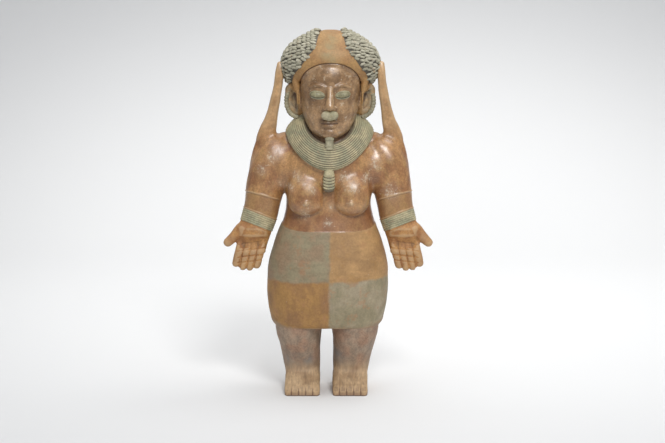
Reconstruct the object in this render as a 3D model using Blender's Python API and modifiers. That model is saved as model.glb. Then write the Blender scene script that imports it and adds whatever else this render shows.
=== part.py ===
"""Standing pottery figure of a woman: one fired-clay solid that stands on its own two feet.

She faces -Y, +X is at the viewer's right and +Z is up. The origin is on the ground, under the middle
of her bounding box. Lengths in the tables below are in design units: one unit is one millimetre on a
figure DESIGN_HEIGHT units tall, and UNIT turns them into metres.
"""

import math

import bmesh
import bpy
import numpy as np
from mathutils import Matrix, Vector

FIGURE_HEIGHT = 0.500
DESIGN_HEIGHT = 500.0
UNIT = FIGURE_HEIGHT / DESIGN_HEIGHT

VOXEL = 1.5
SOFTEN_STEPS = 6
SHOULDER_STEPS = 40
SOLID_TRIANGLES = 9700
RING_SIDES = 48
DOME_TURNS = (20, 40, 60, 76)  # degrees past a limb's end at which its dome has a ring

BREADTH = 1.012  # widths and depths as a share of the tables'
LEAN = 0.0136  # sideways share of the height by which she leans towards +X

# Rows of an upright column: height, half width, front y, back y, squareness (2 is an ellipse).
TORSO = [
    (93, 71, -43, 41, 2.7),
    (98, 75, -47, 45, 2.6),
    (107, 77.3, -50, 48, 2.5),
    (124, 80.5, -54, 52, 2.4),
    (140, 82, -56, 54, 2.3),
    (157, 82.3, -57, 55, 2.2),
    (174, 81.5, -56.5, 54, 2.2),
    (190, 78.5, -54.5, 51, 2.2),
    (207, 73.5, -51, 47, 2.2),
    (223, 68.3, -47, 43, 2.2),
    (240, 61.8, -43, 39, 2.2),
    (257, 58, -40, 36.5, 2.2),
    (270, 58, -39.5, 36, 2.2),
    (285, 61, -39.5, 36, 2.2),
    (302, 66, -40, 37, 2.2),
    (318, 69, -39, 38, 2.2),
    (332, 69.5, -33, 38, 2.2),
    (343, 67, -23, 36, 2.1),
    (352, 62, -9, 33, 2),
    (359, 54, 3, 29, 2),
    (364, 40, 9, 24, 2),
    (367, 18, 13, 19, 2),
]
NECK = [(340, 36, -32, 28, 2), (360, 31, -31, 27, 2), (385, 31, -32, 30, 2)]
HEAD = [
    (355, 9, -40, -16, 2),
    (358, 17, -43, -10, 2),
    (364, 25, -45, 0, 2),
    (374, 31.5, -46, 18, 2),
    (386, 36, -46.5, 32, 2),
    (400, 39.5, -46.5, 40, 2),
    (415, 42, -46, 44, 2),
    (430, 42.5, -45, 46, 2),
    (445, 42, -43, 46, 2),
    (460, 39, -37, 43, 2),
    (474, 32, -27, 36, 2),
    (484, 20, -12, 22, 2),
]
HEADDRESS = [
    (427, 46, -16, 34, 2.2),
    (431, 55, -25, 40, 2.2),
    (439, 60.5, -33, 45, 2.2),
    (448, 63, -38.5, 48, 2.2),
    (456, 63, -41, 49, 2.2),
    (465, 60.5, -40, 48, 2.2),
    (473, 56, -37, 46, 2.2),
    (481, 48.5, -32, 42, 2.2),
    (488, 38, -26, 35, 2.2),
    (494, 27, -19, 27, 2.2),
    (498, 17, -11, 18, 2.2),
    (500, 8, -4, 9, 2.2),
]
LEG = [
    (12, 22.5, -18, 32, 2.6),
    (24, 24, -20, 31.5, 2.5),
    (36, 25.3, -23, 31, 2.3),
    (46, 26, -26, 31, 2.3),
    (58, 27.2, -31, 32, 2.3),
    (72, 29.5, -36, 35, 2.3),
    (84, 31.5, -39, 37, 2.3),
    (96, 31.8, -40, 38, 2.3),
    (106, 29, -36, 34, 2.3),
]
LEG_CENTRES = [(12, 32.6), (30, 33.3), (46, 34.8), (58, 36.4), (78, 38.4), (106, 39.5)]  # height, x

# Rows of a foot: y, half width, top height. The sole runs below the ground and is cut off flat.
FOOT_X = 32.6
FOOT = [
    (-50, 20.5, 8),
    (-46, 23, 11.5),
    (-38, 23.8, 16.5),
    (-28, 24, 24),
    (-18, 24, 31),
    (-8, 24, 34),
    (10, 24, 31),
    (24, 23.5, 24),
    (33, 20, 15),
]
SOLE_DEPTH = 6.0

# Rows of a limb: x, y, z, half width, half depth. The right-hand copy is mirrored.
ARM = [
    (59, 9, 341, 19, 19),
    (69, 6, 334, 25, 24),
    (77, 3, 320, 27.5, 26),
    (82, 1, 302, 27.5, 26),
    (86.5, -1, 282, 26.5, 25),
    (90, -4, 262, 24.5, 23.5),
    (93, -6, 248, 24, 21.5),
    (96.5, -8, 236, 23.5, 18.5),
    (99.5, -10, 226, 22.5, 15.5),
    (102, -12, 217, 21.8, 13),
    (104.5, -14, 207, 21.3, 11),
]
CHEST_SIDE = [
    (54, 3, 332, 16, 20),
    (60, 0, 321, 17, 24),
    (63, -2, 308, 15, 24),
    (64, -2, 296, 11, 20),
    (64, -2, 286, 7, 15),
]
THUMB = [
    (108, -12, 234, 10, 10),
    (118, -14, 226, 10, 9),
    (128, -16, 217, 7.6, 7.4),
    (136, -17, 209.5, 6.2, 6.2),
]
FINGER_COUNT = 4
FINGER_PITCH = 9.4
FINGER_ROOT = (103.2, -14, 212)
FINGER_DRIFT = 7.5  # how far a finger moves outward between its root and its tip
FINGER_LENGTHS = (35, 39.5, 40, 37)  # from the outer finger to the inner one
FINGER_RADIUS = 5.8
STRUT = [
    (71, -2, 453, 4, 4),
    (70.8, -3, 447, 7, 6.5),
    (71, -4, 437, 7.9, 7.4),
    (71.5, -3, 423, 7.8, 7.4),
    (74, 0, 406, 8, 7.4),
    (77.3, 3, 389, 8.2, 7.8),
    (80.5, 5, 374, 9.5, 8.4),
    (84.5, 6, 361, 12, 9),
    (88, 5, 349, 13, 9),
]
STRUT_SQUARENESS = 3.4  # the straps are flat ribbons, not round rods
MANTLE_EDGE = [
    (90.5, 5, 353, 6.5, 7),
    (97.5, 5, 340, 6, 6.5),
    (102, 5, 322, 5.5, 6),
    (105, 4, 303, 5, 5.5),
    (107.5, 3, 286, 4.5, 5),
    (109, 2, 274, 3, 4),
]

# Collar: a thick flat ring round the neck that dips at the front.
COLLAR_X, COLLAR_FRONT, COLLAR_BACK = 43.4, 43.0, 30.0
COLLAR_Y, COLLAR_Z = 2.0, 367.8
COLLAR_DIP, COLLAR_RISE = 37.5, 14.0
COLLAR_BEND = 1.4  # how sharply the collar turns up on both sides of the dip
COLLAR_HALF_WIDTH, COLLAR_HEIGHT, COLLAR_SEAT = 19.0, 8.5, 15.0
COLLAR_TILTS = (76, 36, 58)  # degrees below the level at the front, the side and the back

PENDANT = [(0, -42, 316, 7.5, 5.5), (0, -43.5, 301, 8.6, 6.4), (0, -44, 289, 8.6, 6.4)]
LABRET = [(0, -41, 359, 6, 6), (0, -44.5, 347, 6.6, 6)]
BREAST = [
    (27, -23, 315, 16, 8),
    (28.5, -27.5, 299, 22, 13),
    (30, -31.5, 284, 25, 17),
    (30.5, -33, 271.5, 24.5, 18),
]
NOSE = [(0, -43.5, 422, 4.6, 4.4), (0, -48, 409, 5.4, 5.2), (0, -51.5, 399, 6.8, 5.8)]
BROW = [(6, -43.5, 425, 2.6, 3), (16, -42, 428.5, 2.8, 3.2), (27, -35.5, 425, 2.6, 3)]

# Ball shapes: x, y, z, then the three radii. All but the middle ones are mirrored.
NIPPLE = (30, -50.5, 268, 3.8, 3.8, 3.8)
EAR = (44, 3, 404, 14.5, 5.5, 21.5)
EAR_CURL = [
    (44, -4, 407, 3.5, 3.5),
    (45.5, -6, 417, 4.4, 4),
    (50, -5, 424, 5, 4.4),
    (55.5, -1, 421, 4.6, 4.2),
    (57, 2, 412, 4, 4),
]
NOSTRIL = (6, -49.5, 397, 4.8, 4.6, 4.2)
NOSE_ORNAMENT = (5.8, -51, 387.5, 7.6, 7, 6.8)
EYE = (17, -39, 414.5, 9.6, 7, 6.4)
UPPER_LIP = (0, -44.5, 379, 13, 5.8, 4)
LOWER_LIP = (0, -44, 373, 11, 6, 3.8)
CHIN = (0, -39.5, 363.5, 12, 8, 9)
CHEEK = (18, -29.5, 391, 17, 12, 18)
EAR_BEADS = 9
EAR_BEAD_RADIUS = 3.4
EAR_BEAD_RIM = (44, 5.5, 403, 13.5, 20)  # x, y, z, half width and half height of the beaded rim

# Bands on the arms, at a height on the arm's own slope: see arm_height.
WRIST_BAND = (233.0, 250.6)
WRIST_RAISE = 0.9
ARM_SLOPE, ARM_X, ARM_FORWARD = 0.39, 95.0, 0.17

# Hair: raised pads of locks on both sides of the smooth band that runs over the head.
BAND_EDGE = [(431, 50.5), (442, 47), (453, 38), (464, 31), (475, 22), (485, 17.7), (500, 14)]
NAPE_EDGE = [(431, 24), (455, 18), (500, 14)]
HAIR_FOOT = 428.0
HAIR_RAISE = 4.4
HAIR_REACH = 64.5
HAIR_CENTRE = (0.0, 4.0, 452.0)
HAIR_RADIUS = 58.0
LOCK_LENGTH, LOCK_WIDTH, LOCK_DEPTH = 9.0, 7.5, 1.7

FACE_ARCH = (415.0, 42.5, 42.0)  # springing height, rise and half width of the hairline arch
FACE_SINK = 1.6
WAIST_SIDE, WAIST_DIP = 236.0, 8.0
SKIRT_RAISE = 1.3
TOE_COUNT = 5
TOE_GROOVE = 2.2
TOE_SPAN = 48.0


def resampled(rows, places, steps):
    """Rows of numbers read off a smooth curve through the given ones, at evenly spaced places."""
    rows, places = np.array(rows, float), np.array(places, float)
    slopes = np.gradient(rows, places, axis=0)
    wanted = np.linspace(places[0], places[-1], steps)
    i = np.clip(np.searchsorted(places, wanted, side="right") - 1, 0, len(places) - 2)
    gap = (places[i + 1] - places[i])[:, None]
    t = ((wanted - places[i])[:, None]) / gap
    start = rows[i] * (2 * t**3 - 3 * t**2 + 1) + slopes[i] * gap * (t**3 - 2 * t**2 + t)
    end = rows[i + 1] * (3 * t**2 - 2 * t**3) + slopes[i + 1] * gap * (t**3 - t**2)
    return start + end


def object_from(name, bm, material):
    """A new object, in metres, from a bmesh in design units."""
    bmesh.ops.recalc_face_normals(bm, faces=bm.faces)
    mesh = bpy.data.meshes.new(name)
    bm.to_mesh(mesh)
    bm.free()
    mesh.transform(Matrix.Scale(UNIT, 4))
    mesh.materials.append(material)
    made = bpy.data.objects.new(name, mesh)
    bpy.context.scene.collection.objects.link(made)
    return made


def skin(bm, rings):
    """Adds a closed tube through rings of equally many points, with a flat face at each end."""
    loops = [[bm.verts.new(point) for point in ring] for ring in rings]
    for lower, upper in zip(loops, loops[1:]):
        for i in range(len(lower)):
            j = (i + 1) % len(lower)
            bm.faces.new((lower[i], lower[j], upper[j], upper[i]))
    bm.faces.new(loops[0][::-1])
    bm.faces.new(loops[-1])


def oval(half_width, half_depth, squareness=2.0):
    """Points of a level superellipse about the origin, as two arrays."""
    angle = np.linspace(0, 2 * math.pi, RING_SIDES, endpoint=False)
    c, s = np.cos(angle), np.sin(angle)
    power = 2 / squareness
    return (
        half_width * np.sign(c) * np.abs(c) ** power,
        half_depth * np.sign(s) * np.abs(s) ** power,
    )


def column(bm, rows, centres=None):
    """Adds an upright form from rows of height, half width, front y, back y and squareness."""
    heights = [row[0] for row in rows]
    steps = max(6, round((heights[-1] - heights[0]) / 3))
    rings = []
    for z, half_width, front, back, squareness in resampled(rows, heights, steps):
        x, y = oval(half_width, (back - front) / 2, squareness)
        middle = 0.0 if centres is None else np.interp(z, *zip(*centres))
        rings.append([(a + middle, b + (front + back) / 2, z) for a, b in zip(x, y)])
    skin(bm, rings)


def limb(bm, rows, side=1, squareness=2.0):
    """Adds a tube along rows of x, y, z, half width and half depth, with domed ends."""
    rows = np.array(rows, float)
    lengths = np.linalg.norm(np.diff(rows[:, :3], axis=0), axis=1)
    places = np.concatenate([[0], np.cumsum(lengths)])
    rows = resampled(rows, places, max(5, round(places[-1] / 2.5)))
    ways = np.gradient(rows[:, :3], axis=0)
    ways /= np.linalg.norm(ways, axis=1)[:, None]
    turns = np.radians(DOME_TURNS)
    head = [domed(rows[0], -ways[0], turn) for turn in turns[::-1]]
    tail = [domed(rows[-1], ways[-1], turn) for turn in turns]
    rows = np.concatenate([head, rows, tail])
    ways = np.concatenate([[ways[0]] * len(turns), ways, [ways[-1]] * len(turns)])
    rings = []
    for (x, y, z, half_width, half_depth), way in zip(rows, ways):
        across = np.cross(way, (0, 1, 0))
        across /= np.linalg.norm(across)
        depth = np.cross(way, across)
        a, b = oval(half_width, half_depth, squareness)
        ring = np.outer(a, across) + np.outer(b, depth) + (x, y, z)
        rings.append(ring * (side, 1, 1))
    skin(bm, rings)


def domed(row, way, turn):
    """One row of a limb's domed end, a turn of up to a quarter past its last full row."""
    reach = min(row[3], row[4]) * math.sin(turn)
    return np.concatenate([row[:3] + way * reach, row[3:] * math.cos(turn)])


def ball(bm, place, side=1, segments=24):
    """Adds an ellipsoid from x, y, z and its three radii."""
    x, y, z, *radii = place
    matrix = Matrix.Translation((side * x, y, z)) @ Matrix.Diagonal((*radii, 1))
    bmesh.ops.create_uvsphere(
        bm, u_segments=segments, v_segments=segments // 2, radius=1.0, matrix=matrix
    )


def add_foot(bm, side):
    places = [row[0] for row in FOOT]
    rings = []
    for y, half_width, top in resampled(FOOT, places, 24):
        x, z = oval(half_width, (top + SOLE_DEPTH) / 2, 4.0)
        middle = (top - SOLE_DEPTH) / 2
        rings.append([(side * FOOT_X + a, y, b + middle) for a, b in zip(x, z)])
    skin(bm, rings)


def add_hand(bm, side):
    """The thumb and the four fingers. The palm is the end of the arm."""
    limb(bm, THUMB, side)
    x, y, z = FINGER_ROOT
    for i, length in enumerate(FINGER_LENGTHS):
        root = x + (FINGER_COUNT / 2 - 0.5 - i) * FINGER_PITCH
        rows = [
            (root, y, z, FINGER_RADIUS, FINGER_RADIUS),
            (root + 0.35 * FINGER_DRIFT, y - 7, z - 0.36 * length, FINGER_RADIUS, FINGER_RADIUS),
            (root + FINGER_DRIFT, y - 8, z - length + 4, 0.94 * FINGER_RADIUS, 0.94 * FINGER_RADIUS),
        ]
        limb(bm, rows, side)


def add_ear(bm, side):
    """An ear that stands out sideways, with a curled top and beads along its outer rim."""
    ball(bm, EAR, side)
    limb(bm, EAR_CURL, side)
    x, y, z, half_width, half_height = EAR_BEAD_RIM
    for turn in np.linspace(math.radians(24), math.radians(-80), EAR_BEADS):
        bead = (x + half_width * math.cos(turn), y, z + half_height * math.sin(turn))
        ball(bm, (*bead, *[EAR_BEAD_RADIUS] * 3), side, 12)


def collar_frame(turn):
    """Centre, outward-down width axis and outer normal of the collar, a turn from its front."""
    turn = np.asarray(turn, float)
    forward, sideways = np.cos(turn), np.sin(turn)
    ahead = forward > 0
    reach = np.where(ahead, COLLAR_FRONT, COLLAR_BACK)
    bend = np.abs(forward) ** COLLAR_BEND
    z = COLLAR_Z + np.where(ahead, -COLLAR_DIP, COLLAR_RISE) * bend
    centre = np.stack([COLLAR_X * sideways, COLLAR_Y - reach * forward, z], -1)
    out = np.stack([sideways / COLLAR_X, -forward / reach, np.zeros_like(forward)], -1)
    out /= np.linalg.norm(out, axis=-1)[..., None]
    front, side, back = COLLAR_TILTS
    share = np.abs(forward)
    tilt = np.radians(side + np.where(ahead, front - side, back - side) * share)[..., None]
    up = np.array([0, 0, 1.0])
    return centre, out * np.cos(tilt) - up * np.sin(tilt), out * np.sin(tilt) + up * np.cos(tilt)


def add_collar(bm):
    turns = np.linspace(0, 2 * math.pi, 72, endpoint=False)
    centres, widths, normals = collar_frame(turns)
    loops = []
    for centre, width, normal in zip(centres, widths, normals):
        a, b = oval(COLLAR_HALF_WIDTH, 1, 2.6)
        b = np.where(b > 0, COLLAR_HEIGHT, COLLAR_SEAT) * b
        ring = centre + np.outer(a, width) + np.outer(b, normal)
        loops.append([bm.verts.new(point) for point in ring])
    for here, ahead in zip(loops, loops[1:] + loops[:1]):
        for i in range(RING_SIDES):
            j = (i + 1) % RING_SIDES
            bm.faces.new((here[i], here[j], ahead[j], ahead[i]))


def add_face(bm):
    """Nose, eyes, lips and the two-lobed ornament that hangs from the nose."""
    limb(bm, NOSE)
    for place in (UPPER_LIP, LOWER_LIP, CHIN):
        ball(bm, place)
    for side in (-1, 1):
        limb(bm, BROW, side)
        ball(bm, CHEEK, side)
        ball(bm, EYE, side)
        ball(bm, NOSTRIL, side, 16)
        ball(bm, NOSE_ORNAMENT, side, 16)


def blocked_out(material):
    """Every form of the figure as overlapping closed shapes in one object."""
    bm = bmesh.new()
    column(bm, TORSO)
    column(bm, NECK)
    column(bm, HEAD)
    column(bm, HEADDRESS)
    add_collar(bm)
    add_face(bm)
    limb(bm, PENDANT)
    limb(bm, LABRET)
    for side in (-1, 1):
        column(bm, LEG, [(z, side * x) for z, x in LEG_CENTRES])
        add_foot(bm, side)
        limb(bm, ARM, side)
        limb(bm, CHEST_SIDE, side)
        add_hand(bm, side)
        limb(bm, STRUT, side, STRUT_SQUARENESS)
        limb(bm, MANTLE_EDGE, side)
        limb(bm, BREAST, side)
        ball(bm, NIPPLE, side, 12)
        add_ear(bm, side)
    return object_from("blocked_out", bm, material)


def applied(obj):
    """Replaces the object's mesh with the one that its modifiers make."""
    graph = bpy.context.evaluated_depsgraph_get()
    made = bpy.data.meshes.new_from_object(obj.evaluated_get(graph))
    obj.modifiers.clear()
    obj.data = made


def fuse(obj):
    """Joins the shapes into one skin and softens the joins as a potter's wet finger does."""
    remesh = obj.modifiers.new("fuse", "REMESH")
    remesh.mode = "VOXEL"
    remesh.voxel_size = VOXEL * UNIT
    remesh.adaptivity = 0.0
    applied(obj)
    weights = shoulder_cover(*skin_points(obj).T / UNIT)
    group = obj.vertex_groups.new(name="shoulders")
    for i in np.flatnonzero(weights > 0.01):
        group.add([int(i)], float(weights[i]), "REPLACE")
    blend = obj.modifiers.new("blend_shoulders", "SMOOTH")
    blend.vertex_group = group.name
    blend.iterations = SHOULDER_STEPS
    soften = obj.modifiers.new("soften", "SMOOTH")
    soften.iterations = SOFTEN_STEPS
    applied(obj)
    obj.vertex_groups.clear()


def skin_points(obj):
    points = np.empty(len(obj.data.vertices) * 3, np.float32)
    obj.data.vertices.foreach_get("co", points)
    return points.reshape(-1, 3)


def ramp(value, low, high):
    """0 below low, 1 above high and a smooth step between them."""
    t = np.clip((value - low) / (high - low), 0, 1)
    return t * t * (3 - 2 * t)


def band_edge(y, z):
    """Half width of the smooth band over the head, at the front or at the nape."""
    front = np.interp(z, *zip(*BAND_EDGE))
    nape = np.interp(z, *zip(*NAPE_EDGE))
    return front + (nape - front) * ramp(y, -6, 16)


def hair_cover(x, y, z):
    """1 on the two pads of hair and 0 elsewhere."""
    reach = np.abs(x)
    on_head = ramp(z, HAIR_FOOT - 2, HAIR_FOOT + 1) * ramp(HAIR_REACH - reach, 0, 2.0)
    return ramp(reach - band_edge(y, z), 0, 2.0) * on_head


def locks(x, y, z):
    """Height from 0 to 1 of the rows of locks, which ring the outer pole of each pad."""
    centre_x, centre_y, centre_z = HAIR_CENTRE
    across, along, up = np.abs(x - centre_x), y - centre_y, z - centre_z
    arc = np.arctan2(np.hypot(along, up), across) * HAIR_RADIUS / LOCK_LENGTH
    ring = np.floor(arc)
    girth = 2 * math.pi * HAIR_RADIUS * np.sin((ring + 0.5) * LOCK_LENGTH / HAIR_RADIUS)
    count = np.maximum(3, np.round(girth / LOCK_WIDTH))
    turn = np.arctan2(up, -along) / (2 * math.pi) * count + 0.5 * (ring % 2)
    u, v = 2 * (arc - ring) - 1, 2 * (turn - np.floor(turn)) - 1
    return np.sqrt(np.clip((1 - u**2) * (1 - v**2), 0, 1))


def face_side(x, z):
    """Below 0 inside the hairline arch and above 0 outside it."""
    spring, rise, half_width = FACE_ARCH
    up = np.clip((z - spring) / rise, 0, None)
    return (np.abs(x) / half_width) ** 2.2 + up**2.6 - 1


def collar_cover(x, y, z):
    """1 on the collar and 0 elsewhere."""
    reach = np.where(y < COLLAR_Y, COLLAR_FRONT, COLLAR_BACK)
    centre, width, normal = collar_frame(np.arctan2(x / COLLAR_X, (COLLAR_Y - y) / reach))
    away = np.stack([x, y, z], -1) - centre
    across = np.abs((away * width).sum(-1))
    on_band = ramp(COLLAR_HALF_WIDTH + 4 - across, 0, 4)
    return on_band * ramp((away * normal).sum(-1), -2, 1)


def shoulder_cover(x, y, z):
    """1 from the shoulders down to the armpits, beside the collar, and 0 elsewhere."""
    beside = ramp(np.abs(x), 38, 50) * ramp(z, 245, 262) * ramp(-z, -352, -344)
    return beside * (1 - collar_cover(x, y, z))


def arm_height(x, y, z):
    """Height along the sloping forearm, level with z where the arm's axis crosses ARM_X."""
    return z - ARM_SLOPE * (np.abs(x) - ARM_X) + ARM_FORWARD * (y + 25)


def toe_grooves(x, y, z):
    """1 along the lines between the toes and 0 elsewhere."""
    place = ((np.abs(x) - FOOT_X) / TOE_SPAN + 0.5) * TOE_COUNT
    from_line = np.abs(place - np.round(place))
    between = ramp(place, 0.4, 0.6) * ramp(TOE_COUNT - place, 0.4, 0.6)
    return ramp(0.2 - from_line, 0, 0.2) * between * ramp(-y, 20, 30) * ramp(28 - z, 0, 6)


def relief(points):
    """How far the skin stands out at each point, in design units."""
    x, y, z = points.T
    hair = hair_cover(x, y, z)
    out = hair * (HAIR_RAISE - LOCK_DEPTH + LOCK_DEPTH * locks(x, y, z))
    on_head = ramp(z, 392, 400) * ramp(-y, 8, 14)
    out += FACE_SINK * on_head * ramp(face_side(x, z), 0, 0.08) * (1 - hair)
    waist = WAIST_SIDE - WAIST_DIP * ramp(-y, 0, 45)
    girth = np.interp(z, [row[0] for row in TORSO], [row[1] for row in TORSO])
    on_body = ramp(girth + 4 - np.abs(x), 0, 1)
    out += SKIRT_RAISE * ramp(waist - z, -0.7, 0.7) * ramp(z, 90, 94) * on_body
    low, high = WRIST_BAND
    height = arm_height(x, y, z)
    on_wrist = ramp(height - low, -0.7, 0.7) * ramp(high - height, -0.7, 0.7) * (1 - on_body)
    out += WRIST_RAISE * on_wrist
    return out - TOE_GROOVE * toe_grooves(x, y, z)


def carve(obj):
    """Moves each point of the skin along its normal by the relief there."""
    mesh = obj.data
    points = skin_points(obj)
    normals = np.empty(points.size, np.float32)
    mesh.vertices.foreach_get("normal", normals)
    points += normals.reshape(-1, 3) * relief(points / UNIT)[:, None] * UNIT
    mesh.vertices.foreach_set("co", points.ravel())
    mesh.update()


def thin_out(obj):
    """Spends the solid's triangles where its surface curves most."""
    obj.data.calc_loop_triangles()
    decimate = obj.modifiers.new("thin_out", "DECIMATE")
    decimate.ratio = SOLID_TRIANGLES / len(obj.data.loop_triangles)
    applied(obj)


def stand(obj):
    """Leans the figure, sets its height, cuts the soles flat and centres the origin under it."""
    top = max(v.co.z for v in obj.data.vertices)
    lean = Matrix.Diagonal((BREADTH, BREADTH, FIGURE_HEIGHT / top, 1))
    lean[0][2] = LEAN
    obj.data.transform(lean)
    bm = bmesh.new()
    bm.from_mesh(obj.data)
    geometry = bm.verts[:] + bm.edges[:] + bm.faces[:]
    cut = bmesh.ops.bisect_plane(
        bm, geom=geometry, plane_co=(0, 0, 0), plane_no=(0, 0, 1), clear_inner=True
    )
    rims = [item for item in cut["geom_cut"] if isinstance(item, bmesh.types.BMEdge)]
    bmesh.ops.holes_fill(bm, edges=rims)
    bmesh.ops.triangulate(bm, faces=bm.faces)
    bmesh.ops.recalc_face_normals(bm, faces=bm.faces)
    low = [min(v.co[i] for v in bm.verts) for i in range(3)]
    high = [max(v.co[i] for v in bm.verts) for i in range(3)]
    middle = Vector(((low[0] + high[0]) / 2, (low[1] + high[1]) / 2, 0))
    bmesh.ops.translate(bm, verts=bm.verts, vec=-middle)
    bm.to_mesh(obj.data)
    bm.free()


def fired_clay():
    material = bpy.data.materials.new("fired_clay")
    material.use_nodes = True
    shader = material.node_tree.nodes["Principled BSDF"]
    shader.inputs["Base Color"].default_value = (0.38, 0.18, 0.075, 1)
    shader.inputs["Roughness"].default_value = 0.5
    shader.inputs["Metallic"].default_value = 0.0
    return material


def build():
    for old in list(bpy.data.objects):
        bpy.data.objects.remove(old)
    figure = blocked_out(fired_clay())
    fuse(figure)
    carve(figure)
    thin_out(figure)
    stand(figure)
    figure.name = "standing_figure"
    collection = bpy.data.collections.new("standing_figure")
    bpy.context.scene.collection.children.link(collection)
    collection.objects.link(figure)
    bpy.context.scene.collection.objects.unlink(figure)
    return figure


build()
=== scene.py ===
"""Standing pottery figure of a woman: her fine clay skin, locks, combed collar, paint and studio light.

She faces -Y, +X is at the viewer's right and +Z is up. Lengths in the tables are in design units, which
are millimetres on a figure DESIGN_HEIGHT units tall, and PLACED turns them into metres in the frame.
"""

import math

import bmesh
import bpy
import numpy as np
from mathutils import Matrix, Vector
from mathutils.bvhtree import BVHTree


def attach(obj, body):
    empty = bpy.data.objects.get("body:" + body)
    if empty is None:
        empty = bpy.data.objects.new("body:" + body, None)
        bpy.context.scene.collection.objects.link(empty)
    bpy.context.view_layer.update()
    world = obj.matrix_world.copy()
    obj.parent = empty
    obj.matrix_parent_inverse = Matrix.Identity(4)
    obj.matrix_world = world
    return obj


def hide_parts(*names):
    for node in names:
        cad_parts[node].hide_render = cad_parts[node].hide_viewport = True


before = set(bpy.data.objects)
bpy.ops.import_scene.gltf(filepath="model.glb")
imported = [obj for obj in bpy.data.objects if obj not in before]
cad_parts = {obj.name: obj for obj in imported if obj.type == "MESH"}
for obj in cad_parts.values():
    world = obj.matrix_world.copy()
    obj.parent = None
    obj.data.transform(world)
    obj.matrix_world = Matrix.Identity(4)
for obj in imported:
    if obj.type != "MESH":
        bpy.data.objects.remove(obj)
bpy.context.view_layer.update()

FIGURE_HEIGHT = 0.500
DESIGN_HEIGHT = 500.0
UNIT = FIGURE_HEIGHT / DESIGN_HEIGHT

BREADTH = 1.012  # widths and depths as a share of the tables'
TALLNESS = 0.99677  # heights as a share of the tables'
LEAN = 0.0136  # sideways share of the height by which she leans towards +X
MIDDLE = (0.00285, -0.00104)  # what the leaning figure moves by to stand over the origin

BODY_VOXEL = 1.0
HEAD_VOXEL = 0.6
SOLID_VOXEL = 1.5  # the voxel at which the numbers of softening steps below are meant
SOFTEN_STEPS = 5
SHOULDER_STEPS = 64
CHEEK_STEPS = 24
BODY_TRIANGLES = 190000
HEAD_TRIANGLES = 150000
RING_SIDES = 96
RING_PITCH = 2.0
LIMB_PITCH = 1.6
DOME_TURNS = (15, 30, 45, 60, 76)  # degrees at which the rings of a limb's domed end lie
FINE_WEIGHT = 0.01
LEAST_WEIGHT = 0.01
BODY_HOLLOWS, BODY_CREASES = 40, 6  # smoothing steps that find the broad and the fine hollows
HEAD_HOLLOWS, HEAD_CREASES = 60, 8
SEED = 7
RIPPLES = [(60, 0.22), (30, 0.09), (14, 0.035)]  # wavelength and height of the clay's unevenness

# Rows of an upright column: height, half width, front y, back y, squareness (2 is an ellipse).
TORSO = [
    (93, 71, -43, 41, 2.7),
    (98, 75, -47, 45, 2.6),
    (107, 77.3, -50, 48, 2.5),
    (124, 80.5, -54, 52, 2.4),
    (140, 82, -56, 54, 2.3),
    (157, 82.3, -57, 55, 2.2),
    (174, 81.5, -56.5, 54, 2.2),
    (190, 78.5, -54.5, 51, 2.2),
    (207, 73.5, -51, 47, 2.2),
    (223, 68.3, -47, 43, 2.2),
    (240, 61.8, -43, 39, 2.2),
    (257, 58, -40, 36.5, 2.2),
    (270, 58, -39.5, 36, 2.2),
    (285, 61, -39.5, 36, 2.2),
    (302, 66, -40, 37, 2.2),
    (318, 69, -39, 38, 2.2),
    (332, 69.5, -33, 38, 2.2),
    (343, 67, -23, 36, 2.1),
    (352, 62, -9, 33, 2),
    (359, 54, 3, 29, 2),
    (364, 40, 9, 24, 2),
    (367, 18, 13, 19, 2),
]
NECK = [(340, 36, -32, 28, 2), (360, 31, -31, 27, 2), (385, 31, -32, 30, 2)]
HEAD = [
    (355, 9, -40, -16, 2),
    (358, 17, -43, -10, 2),
    (364, 25, -45, 0, 2),
    (374, 31.5, -46, 18, 2),
    (386, 36, -46.5, 32, 2),
    (400, 39.5, -46.5, 40, 2),
    (415, 42, -46, 44, 2),
    (430, 42.5, -45, 46, 2),
    (445, 42, -43, 46, 2),
    (460, 39, -37, 43, 2),
    (474, 32, -27, 36, 2),
    (484, 20, -12, 22, 2),
]
HEADDRESS = [
    (427, 46, -16, 34, 2.2),
    (431, 55, -25, 40, 2.2),
    (439, 60.5, -33, 45, 2.2),
    (448, 63, -38.5, 48, 2.2),
    (456, 63, -41, 49, 2.2),
    (465, 60.5, -40, 48, 2.2),
    (473, 56, -37, 46, 2.2),
    (481, 48.5, -32, 42, 2.2),
    (488, 38, -26, 35, 2.2),
    (494, 27, -19, 27, 2.2),
    (498, 17, -11, 18, 2.2),
    (500, 8, -4, 9, 2.2),
]
LEG = [
    (12, 22.5, -18, 32, 2.6),
    (24, 24, -20, 31.5, 2.5),
    (36, 25.3, -23, 31, 2.3),
    (46, 26, -26, 31, 2.3),
    (58, 27.2, -31, 32, 2.3),
    (72, 29.5, -36, 35, 2.3),
    (84, 31.5, -39, 37, 2.3),
    (96, 31.8, -40, 38, 2.3),
    (106, 29, -36, 34, 2.3),
]
LEG_CENTRES = [(12, 32.6), (30, 33.3), (46, 34.8), (58, 36.4), (78, 38.4), (106, 39.5)]  # height, x

# Rows of a foot: y, half width, top height. The sole runs below the ground and is cut off flat.
FOOT_X = 32.6
FOOT = [
    (-50, 20.5, 8),
    (-46, 23, 11.5),
    (-38, 23.8, 16.5),
    (-28, 24, 24),
    (-18, 24, 31),
    (-8, 24, 34),
    (10, 24, 31),
    (24, 23.5, 24),
    (33, 20, 15),
]
SOLE_DEPTH = 6.0

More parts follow.
